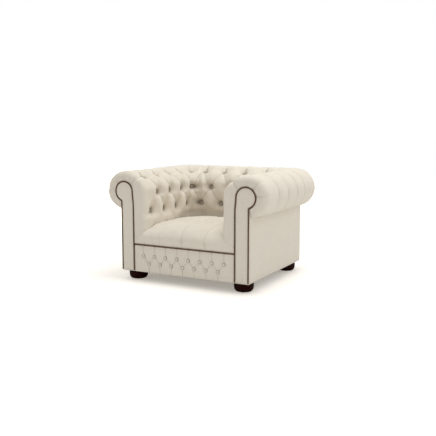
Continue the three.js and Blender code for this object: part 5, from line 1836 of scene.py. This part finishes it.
@dataclass
class Facing:
    """Keyhole pad on the front of an arm, with its row of nails."""

    side: Side
    form: PaddedU
    thick: float = 0.009
    crown: float = 0.0034
    edge: float = 0.0032
    nail_inset: float = 0.0038
    nail_foot: float = 0.004
    # Darkness and width of the painted shade along the row of nails
    nail_shade: float = 0.35
    nail_shade_reach: float = 0.004
    swell_run: Pair = (0.005, 0.026)
    turn_run: float = 0.0035
    foot_edge: float = 0.001
    seed: int = 41
    ripple: Pair = (0.05, 0.0003)
    samples: int = 200
    fineness: float = 0.002
    leg_rows: int = 60
    flare_rows: int = 12
    round_rows: int = 26
    near_edge: tuple[float, ...] = (0.0, 0.008, 0.02, 0.04, 0.07, 0.11, 0.16, 0.22, 0.3, 0.4)
    merge: float = 0.0002

    def outline(self, inset: float, step: float) -> Array:
        """Outline from the outer foot, round the scroll and down to the inner foot.

        Args:
            inset: How far inside the edge.
            step: Spacing of its points.

        Returns:
            Points x and z, (n, 2), on the right side.
        """
        f = self.form
        radius = f.scroll_radius - inset
        seam = f.seam_out - inset
        start = -math.acos(seam / radius)
        arc = np.linspace(start, math.pi, self.samples)
        round_part = np.stack([f.roll_x + radius * np.cos(arc), f.roll_z + radius * np.sin(arc)], axis=1)
        drop = np.linspace(0, f.roll_z - HEM, self.samples)[1:]
        inner = np.stack([f.roll_x - radius - f.flare(drop), f.roll_z - drop], axis=1)
        rise = np.linspace(HEM, round_part[0, 1], self.samples)[:-1]
        outer = np.stack([np.full_like(rise, f.roll_x + seam), rise], axis=1)
        path = np.concatenate([outer, round_part, inner])
        run = np.concatenate([[0], np.cumsum(np.linalg.norm(np.diff(path, axis=0), axis=1))])
        even = np.linspace(0, run[-1], max(int(run[-1] / step), 2) + 1)
        return np.stack([np.interp(even, run, path[:, 0]), np.interp(even, run, path[:, 1])], axis=1)

    def levels(self) -> Array:
        """Rows across the pad from its foot to the top of the scroll, (rows, 2 ends, 2).

        Returns:
            x and z of both ends of each row, on the right side.
        """
        f = self.form
        notch = f.roll_z + f.scroll_radius * math.sin(f.start_angle)
        marks = (HEM, f.roll_z - f.leg_flare_drop, notch, f.roll_z)
        counts = (self.leg_rows, self.flare_rows, self.round_rows)
        z = [np.linspace(marks[n], marks[n + 1], counts[n], endpoint=False) for n in range(3)]
        rise = np.linspace(0, math.pi / 2, self.round_rows)
        z = np.concatenate([*z, f.roll_z + f.scroll_radius * np.sin(rise)])
        drop = np.maximum(f.roll_z - z, 0)
        half = np.sqrt(np.maximum(f.scroll_radius**2 - (z - f.roll_z) ** 2, 0))
        outer = f.roll_x + np.where(z < notch, f.seam_out, half)
        inner = f.roll_x - np.where(z < f.roll_z, f.scroll_radius + f.flare(drop), half)
        return np.stack([np.stack([end, z], axis=1) for end in (outer, inner)], axis=1)

    def to_outline(self, points: Array) -> Array:
        """Distance of each point, (..., 2), from the pad's outline.

        Args:
            points: x and z of each, on the right side.

        Returns:
            Distances in metres.
        """
        edge = self.outline(0.0, self.fineness)
        start, run = edge[:-1], np.diff(edge, axis=0)
        offset = points[..., None, :] - start
        share = np.clip((offset * run).sum(-1) / (run * run).sum(-1), 0, 1)
        return np.linalg.norm(offset - share[..., None] * run, axis=-1).min(-1)

    def build(self) -> Piece:
        """Builds the pad.

        Returns:
            The closed object.
        """
        ends = self.levels()
        near = np.array(self.near_edge)
        share = np.concatenate([near, [0.5], 1 - near[::-1]])
        flat = ends[:, :1] + (ends[:, 1:] - ends[:, :1]) * share[None, :, None]
        x, z = flat[..., 0], flat[..., 1]
        from_edge = np.minimum(self.to_outline(flat), z - HEM + self.foot_edge)
        swell = smooth_share(from_edge, *self.swell_run)
        turn = 1 - smooth_share(from_edge, 0, self.turn_run)
        y = -FRONT - self.crown * swell + self.edge * turn
        ripple = Ripple(self.seed + self.side.value, *self.ripple)
        y = y - ripple.at(np.stack([x, y, z], axis=-1)) * swell
        outer = np.stack([self.side.value * x, y, z], axis=-1)
        inner = outer.copy()
        inner[..., 1] = -FRONT + self.thick
        # Painted shade along the row of nails
        nail_shade_mask = np.exp(-(((from_edge - self.nail_inset) / self.nail_shade_reach) ** 2))
        made = shell(f"{self.side.word}_facing_pad", outer, inner, flat, nail_shade_mask * self.nail_shade)
        face_outwards(made, self.merge)
        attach(made, "root")
        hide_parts(f"{self.side.word}_facing")
        return made

    def nail_places(self) -> list[Array]:
        """Places of the nails, edge to edge round the pad.

        Returns:
            A point for each nail.
        """
        path = self.outline(self.nail_inset, NAIL_PITCH)
        y = -FRONT - HAIR
        lowest = HEM + self.nail_foot
        return [np.array([self.side.value * x, y, z]) for x, z in path[:-1] if z > lowest]


@dataclass
class NailRows:
    """Domed upholstery nails, set side by side."""

    radius: float = 0.0058
    height: float = 0.0040
    border_half: float = 0.3515
    rim: float = 0.0005
    sink: float = 0.0008
    skirt: float = 0.96
    segments: int = 12
    # Share of painted highlight on each ring, from the shank up to the top of the dome
    rub_rings: tuple[float, ...] = (0.0, 0.0, 0.1, 0.35, 0.7, 0.95, 1.0)
    tilt: float = 0.035
    spin: float = 6.0

    def form(self) -> tuple[Arrays, Array]:
        """One nail head, standing along Z, and how much painted highlight each corner takes.

        Returns:
            Its form, and a number for each corner.
        """
        below = [(0.0, -self.sink), (self.radius * self.skirt, -self.sink)]
        turns = np.linspace(0, math.pi / 2, len(self.rub_rings) - len(below))
        rise = self.height - self.rim
        dome = [(self.radius * math.cos(t), self.rim + rise * math.sin(t)) for t in turns]
        return lathe([*below, *dome], self.segments), np.repeat(self.rub_rings, self.segments)

    def build(self, name: str, places: Sequence[Array], stands_for: str) -> Piece:
        """Builds a row.

        Args:
            name: Name of the piece.
            places: Where each nail stands.
            stands_for: Name of the strip that the row replaces.

        Returns:
            One object with the whole row.
        """
        form, dome_highlight = self.form()
        chosen = np.random.default_rng(len(places))
        matrices = []
        for place in places:
            aside, upwards = chosen.normal(0, self.tilt, 2)
            outwards = np.array([aside, -1.0, upwards])
            matrices.append(facing_matrix(place, outwards, chosen.uniform(0, self.spin)))
        made = copies(name, form, matrices, "dome_highlight", dome_highlight)
        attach(made, "root")
        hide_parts(stands_for)
        return made

    def border_places(self) -> list[Array]:
        """Places along the top of the border, between the facings.

        Returns:
            A point for each nail.
        """
        end = self.border_half - self.radius
        xs = np.linspace(-end, end, int(2 * end / NAIL_PITCH) + 1)
        return [np.array([x, -FRONT - HAIR, TRIM]) for x in xs]


@dataclass
class OutsidePanels:
    """Cloth panels drawn over the outsides of the arms and the back."""

    half_width: float = 0.447
    rear: float = 0.410
    front: float = 0.3977
    top: float = 0.500
    notch_top: float = 0.4475
    notch: float = 0.096
    thick: float = 0.006
    notch_slope: float = 0.02
    swell: float = 0.0035
    swell_edge: float = 0.05
    swell_fade: Pair = (0.39, 0.44)
    rounding: float = 0.0022
    rounding_reach: float = 0.004
    ripple: Pair = (0.16, 0.0006)
    ripple_stretch: Triple = (1.0, 0.35, 1.0)
    side_seed: int = 51
    back_seed: int = 57
    step: float = 0.008

    def grid(self, low: float, high: float, notches: tuple[bool, bool]) -> Arrays:
        """Across and height of a panel's points, its top stepped down at a corner.

        Args:
            low: Lower end across.
            high: Upper end across.
            notches: Whether the top is stepped down at each end.

        Returns:
            Across and height, two grids.
        """
        across = np.linspace(low, high, int((high - low) / self.step) + 1)
        fall = np.zeros_like(across)
        for stepped, way in zip(notches, (across - low, high - across)):
            if stepped:
                fall = np.maximum(fall, 1 - smooth_share(way, self.notch - self.notch_slope, self.notch))
        top = self.top + (self.notch_top - self.top) * fall
        up = np.linspace(0, 1, int((self.top - HEM) / self.step) + 1)
        height = HEM + (top[:, None] - HEM) * up[None, :]
        return np.broadcast_to(across[:, None], height.shape), height

    def bulge(self, across: Array, height: Array, seed: int) -> Array:
        """How far the cloth stands out between its edges.

        Args:
            across: Grid of places across.
            height: Grid of heights.
            seed: Seed of its unevenness.

        Returns:
            Metres outwards, below 0 where an edge turns in.
        """
        left, right, up = across - across.min(), across.max() - across, height - HEM
        edge, reach = self.swell_edge, self.rounding_reach
        inside = smooth_share(left, 0, edge) * smooth_share(right, 0, edge)
        upright = smooth_share(up, 0, edge) * (1 - smooth_share(height, *self.swell_fade))
        sides = 1 - smooth_share(np.minimum(left, right), 0, reach)
        foot = 1 - smooth_share(up, 0, reach)
        flat = np.stack([across, height, np.zeros_like(across)], axis=-1)
        drag = Ripple(seed, *self.ripple).at(flat * np.array(self.ripple_stretch))
        out = (self.swell + drag) * inside * upright
        return out - self.rounding * np.maximum(sides, foot)

    def place(self, side: str, outer: Array, inner: Array, cloth: Array) -> Piece:
        """Makes a panel that rides and stands for its node.

        Args:
            side: Side of the chair that it covers.
            outer: Grid of the shown face.
            inner: Grid of the hidden face.
            cloth: Cloth coordinates.

        Returns:
            The closed object.
        """
        name, node = f"{side}_outside_cloth", f"{side}_outside_panel"
        made = shell(name, outer, inner, cloth, np.zeros(cloth.shape[:2]))
        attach(made, "root")
        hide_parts(node)
        return made

    def build_side(self, side: Side) -> Piece:
        """Builds the outside of an arm.

        Args:
            side: Which arm.

        Returns:
            The closed object.
        """
        y, z = self.grid(-self.front, self.rear, (False, True))
        out = self.half_width + self.bulge(y, z, self.side_seed + side.value)
        hidden = np.full_like(y, side.value * (self.half_width - self.thick))
        outer, inner = (np.stack([x, y, z], axis=-1) for x in (side.value * out, hidden))
        return self.place(side.word, outer, inner, np.stack([y, z], axis=-1))

    def build_back(self) -> Piece:
        """Builds the outside of the back.

        Returns:
            The closed object.
        """
        edge = self.half_width - self.thick - HAIR
        x, z = self.grid(-edge, edge, (True, True))
        out = self.rear + self.bulge(x, z, self.back_seed)
        hidden = np.full_like(x, self.rear - self.thick)
        outer, inner = (np.stack([x, y, z], axis=-1) for y in (out, hidden))
        return self.place("back", outer, inner, np.stack([x, z], axis=-1))


@dataclass
class BunFoot:
    """Turned foot with a rounded belly on a narrower base.

    shoulder holds how far in and how far down each point of its top edge lies; bore is the radius and
    the depth of the hole for its bolt.
    """

    side: Side
    end: str
    centre: Pair
    height: float = 0.0594
    radius: float = 0.060
    base: float = 0.040
    base_edge: tuple[Pair, ...] = ((0.004, 0.0), (0.0012, 0.0010))
    belly_bottom: float = 0.0015
    belly_share: float = 0.56
    belly_turns: tuple[float, float, int] = (0.06, 1, 12)
    shoulder: tuple[Pair, ...] = (
        (0.0, 0.012), (0.0008, 0.0085), (0.0035, 0.0055),
        (0.0036, 0.0035), (0.0055, 0.0012), (0.0085, 0.0001),
    )
    bore: Pair = (0.0043, 0.0303)
    segments: int = 56
    crease_degrees: float = 50.0

    def build(self) -> Piece:
        """Builds the foot.

        Returns:
            The object.
        """
        profile = [(0.0, 0.0), *((self.base - inwards, up) for inwards, up in self.base_edge)]
        belly = self.height * self.belly_share - self.belly_bottom
        for t in np.linspace(*self.belly_turns):
            turn = t * math.pi / 2
            out = self.base + (self.radius - self.base) * math.sin(turn)
            profile.append((out, self.belly_bottom + belly * (1 - math.cos(turn))))
        profile += [(self.radius - inwards, self.height - down) for inwards, down in self.shoulder]
        hole, depth = self.bore
        rim = profile[-1][1]
        profile += [(hole, rim), (hole, self.height - depth), (0.0, self.height - depth)]
        points, quads = lathe(profile, self.segments)
        points = points + np.array([self.centre[0] * self.side.value, self.centre[1], 0.0])
        made = quad_mesh(f"{self.side.word}_{self.end}_bun_foot", points, quads)
        face_outwards(made)
        crisp(made, self.crease_degrees)
        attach(made, "root")
        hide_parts(f"{self.side.word}_{self.end}_foot")
        return made


# Studio


@dataclass(frozen=True)
class Lamp:
    """A soft square lamp: its place, its power in watts and its width."""

    role: LampRole
    place: Triple
    power: float
    size: float


@dataclass
class Studio:
    """Camera, floor and soft lamps."""

    azimuth: float = math.radians(28.12)
    elevation: float = math.radians(7.98)
    distance: float = 4.2002
    target: Triple = (0.0765, -0.1328, 0.3889)
    lens: float = 54.154
    floor_half: float = 9.0
    floor_colour: Colour = (0.93, 0.925, 0.915, 1)
    floor_roughness: float = 0.75
    floor_gloss: float = 0.2
    # The floor's glow, seen by the camera alone, is painted light: weak near the chair, where it lifts
    # and warms its shadow, and full further out
    glow_colour: Colour = (1, 0.92, 0.80, 1)
    glow_near: float = 0.34
    glow_run: Pair = (0.9, 3.0)
    world_colour: Colour = (1.0, 0.995, 0.985, 1)
    world_light: float = 0.67
    lamp_aim: Triple = (0, 0, 0.3)
    lamps: tuple[Lamp, ...] = (
        Lamp(LampRole.KEY, (3.6, 0.4, 2.8), 17, 2.4),
        Lamp(LampRole.TOP, (0.5, 0.1, 3.6), 46, 1.6),
    )

    def build_camera(self) -> Piece:
        """Stands the camera at the photograph's place.

        Returns:
            The camera.
        """
        back = Vector(
            (
                math.sin(self.azimuth) * math.cos(self.elevation),
                -math.cos(self.azimuth) * math.cos(self.elevation),
                math.sin(self.elevation),
            )
        )
        data = bpy.data.cameras.new("view")
        data.lens = self.lens
        data.sensor_width = 36.0
        data.clip_end = 100.0
        camera = bpy.data.objects.new("view", data)
        camera.location = Vector(self.target) + back * self.distance
        camera.rotation_mode = "QUATERNION"
        camera.rotation_quaternion = (-back).to_track_quat("-Z", "Y")
        bpy.context.scene.collection.objects.link(camera)
        bpy.context.scene.camera = camera
        return camera

    def build_floor(self) -> Piece:
        """Lays the pale floor, which glows for the camera alone: painted light that lifts and warms the
        chair's shadow near it and turns the far floor white.

        Returns:
            The floor.
        """
        h = self.floor_half
        points = np.array([[-h, -h, 0.0], [h, -h, 0.0], [h, h, 0.0], [-h, h, 0.0]])
        floor = quad_mesh("floor", points, np.array([[0, 1, 2, 3]]))
        g = Graph("pale_floor")
        g.feed(self.floor_colour, "Base Color")
        g.feed(self.floor_roughness, "Roughness")
        g.feed(self.floor_gloss, "Specular IOR Level")
        g.feed(self.glow_colour, "Emission Color")
        away = g.add("ShaderNodeVectorMath", operation="LENGTH")
        g.fill(away.inputs[0], g.coordinates(ThreadPath.SOLID))
        seen = g.add("ShaderNodeLightPath").outputs["Is Camera Ray"]
        glow = g.span(away.outputs["Value"], *self.glow_run, self.glow_near, 1.0)
        g.feed(g.number("MULTIPLY", glow, seen), "Emission Strength")
        floor.data.materials.append(g.material)
        return floor

    def build_world(self) -> None:
        """Lights the scene evenly, with a white that the camera and reflections see."""
        world = bpy.data.worlds.new("studio")
        bpy.context.scene.world = world
        g = NodeTree(world)
        output = g.add("ShaderNodeOutputWorld")
        rays = g.add("ShaderNodeLightPath").outputs
        even = g.add("ShaderNodeBackground", Color=self.world_colour, Strength=self.world_light)
        seen = g.add("ShaderNodeBackground", Color=(1, 1, 1, 1), Strength=1.0)
        direct = g.number("MAXIMUM", rays["Is Camera Ray"], rays["Is Glossy Ray"])
        shown = g.number("MAXIMUM", direct, rays["Is Transmission Ray"])
        mix = g.add("ShaderNodeMixShader")
        for slot, socket in enumerate((shown, even.outputs[0], seen.outputs[0])):
            g.fill(mix.inputs[slot], socket)
        g.fill(output.inputs["Surface"], mix.outputs[0])

    def build_lamp(self, lamp: Lamp) -> Piece:
        """Hangs a lamp that looks at the chair.

        Args:
            lamp: Which lamp.

        Returns:
            Its object.
        """
        data = bpy.data.lights.new(f"{lamp.role.value}_lamp", "AREA")
        data.energy = lamp.power
        data.size = lamp.size
        hung = bpy.data.objects.new(f"{lamp.role.value}_lamp", data)
        hung.location = lamp.place
        hung.rotation_mode = "QUATERNION"
        hung.rotation_quaternion = (Vector(self.lamp_aim) - Vector(lamp.place)).to_track_quat("-Z", "Y")
        bpy.context.scene.collection.objects.link(hung)
        return hung

    def build(self) -> None:
        """Sets the whole studio."""
        bpy.context.scene.view_settings.view_transform = "Standard"
        self.build_camera()
        self.build_floor()
        self.build_world()
        for lamp in self.lamps:
            self.build_lamp(lamp)


@dataclass
class HiddenPieces:
    """Finishes of the solids that stay as they were packed."""

    nodes: dict[str, Piece]
    record: dict
    finishes: dict[str, Material]
    crease_degrees: float = 35.0

    def dress(self) -> int:
        """Gives each node that stays the finish of its slot.

        Returns:
            Number of nodes dressed.
        """
        slots = {part["node"]: part["material_slot"] for part in self.record["subparts"]}
        count = 0
        for name, node in self.nodes.items():
            if node.hide_render:
                continue
            node.data.materials.clear()
            node.data.materials.append(self.finishes[slots[name]])
            crisp(node, self.crease_degrees)
            count += 1
        return count


def dressed(piece: Piece, material: Material) -> Piece:
    """Gives a piece its material and reports it.

    Args:
        piece: The mesh object.
        material: Its finish.

    Returns:
        The same object.
    """
    piece.data.materials.clear()
    piece.data.materials.append(material)
    LOG.info("%s: %d faces in %s", piece.name, len(piece.data.polygons), material.name)
    return piece


def make_finishes() -> dict[str, Material]:
    """Builds the finish of every slot.

    Returns:
        Material of each slot name.
    """
    return {
        "linen": LinenFinish().make(),
        "nail": NailFinish().make(),
        "mahogany": TimberFinish(
            "polished_mahogany", shade(46, 12, 8), shade(22, 7, 5), 0.34, polish=0.02, gloss=0.03,
            stretch=(1.0, 1.0, 0.15), rings=40.0,
        ).make(),
        "beech": TimberFinish("bare_beech", shade(205, 168, 122), shade(168, 127, 84), 0.62).make(),
        "board": FibreFinish("fibre_board", shade(158, 126, 88), shade(122, 95, 64), 900, 0.0002).make(),
        "foam": FibreFinish("foam", shade(226, 220, 176), shade(206, 198, 150), 1400, 0.0005).make(),
        "hessian": LinenFinish(
            "hessian", shade(166, 140, 100), shade(132, 108, 74), shade(90, 72, 50),
            thread=0.0028, path=ThreadPath.SOLID, painted_shade_share=0.0,
        ).make(),
        "dust_cloth": FibreFinish("spunbond", shade(36, 36, 39), shade(22, 22, 25), 1100, 0.00015).make(),
        "steel": SteelFinish().make(),
    }


def build_chair(finishes: dict[str, Material]) -> None:
    """Builds every shown piece of the chair.

    Args:
        finishes: Material of each slot name.
    """
    linen, nail = finishes["linen"], finishes["nail"]
    form = PaddedU()
    tufting = Tufting(form)
    corner = form.corner_span / 2
    far = 2 * form.middle
    spans = (
        ("right_arm_upholstery", ("right_arm_cover", "right_arm_foam"), form.rim, corner, 11),
        ("back_upholstery", ("back_cover", "back_foam"), corner, far - corner, 12),
        ("left_arm_upholstery", ("left_arm_cover", "left_arm_foam"), far - corner, far - form.rim, 13),
    )
    for name, nodes, first, last, seed in spans:
        part = RolledUpholstery(tufting, name, nodes, first, last, seed)
        dressed(part.build(), linen)
        dressed(part.build_buttons(), linen)
    dressed(Seat().build(), linen)
    border = FrontBorder()
    dressed(border.build(), linen)
    dressed(border.build_buttons(), linen)
    nails = NailRows()
    for side in Side:
        facing = Facing(side, form)
        dressed(facing.build(), linen)
        name = f"{side.word}_facing_nail"
        dressed(nails.build(f"{name}s", facing.nail_places(), f"{name}_trim"), nail)
        dressed(OutsidePanels().build_side(side), linen)
        for end, place in FOOT_PLACES.items():
            dressed(BunFoot(side, end, place).build(), finishes["mahogany"])
    dressed(nails.build("border_nails", nails.border_places(), "border_nail_trim"), nail)
    dressed(OutsidePanels().build_back(), linen)


def main() -> None:
    """Builds the studio and the chair, in order."""
    logging.basicConfig(level=logging.INFO, format="%(name)s: %(message)s")
    Studio().build()
    finishes = make_finishes()
    build_chair(finishes)
    kept = HiddenPieces(frame["nodes"], frame["record"], finishes).dress()
    LOG.info("%d solids kept from the frame", kept)


if __name__ == "__main__":
    main()
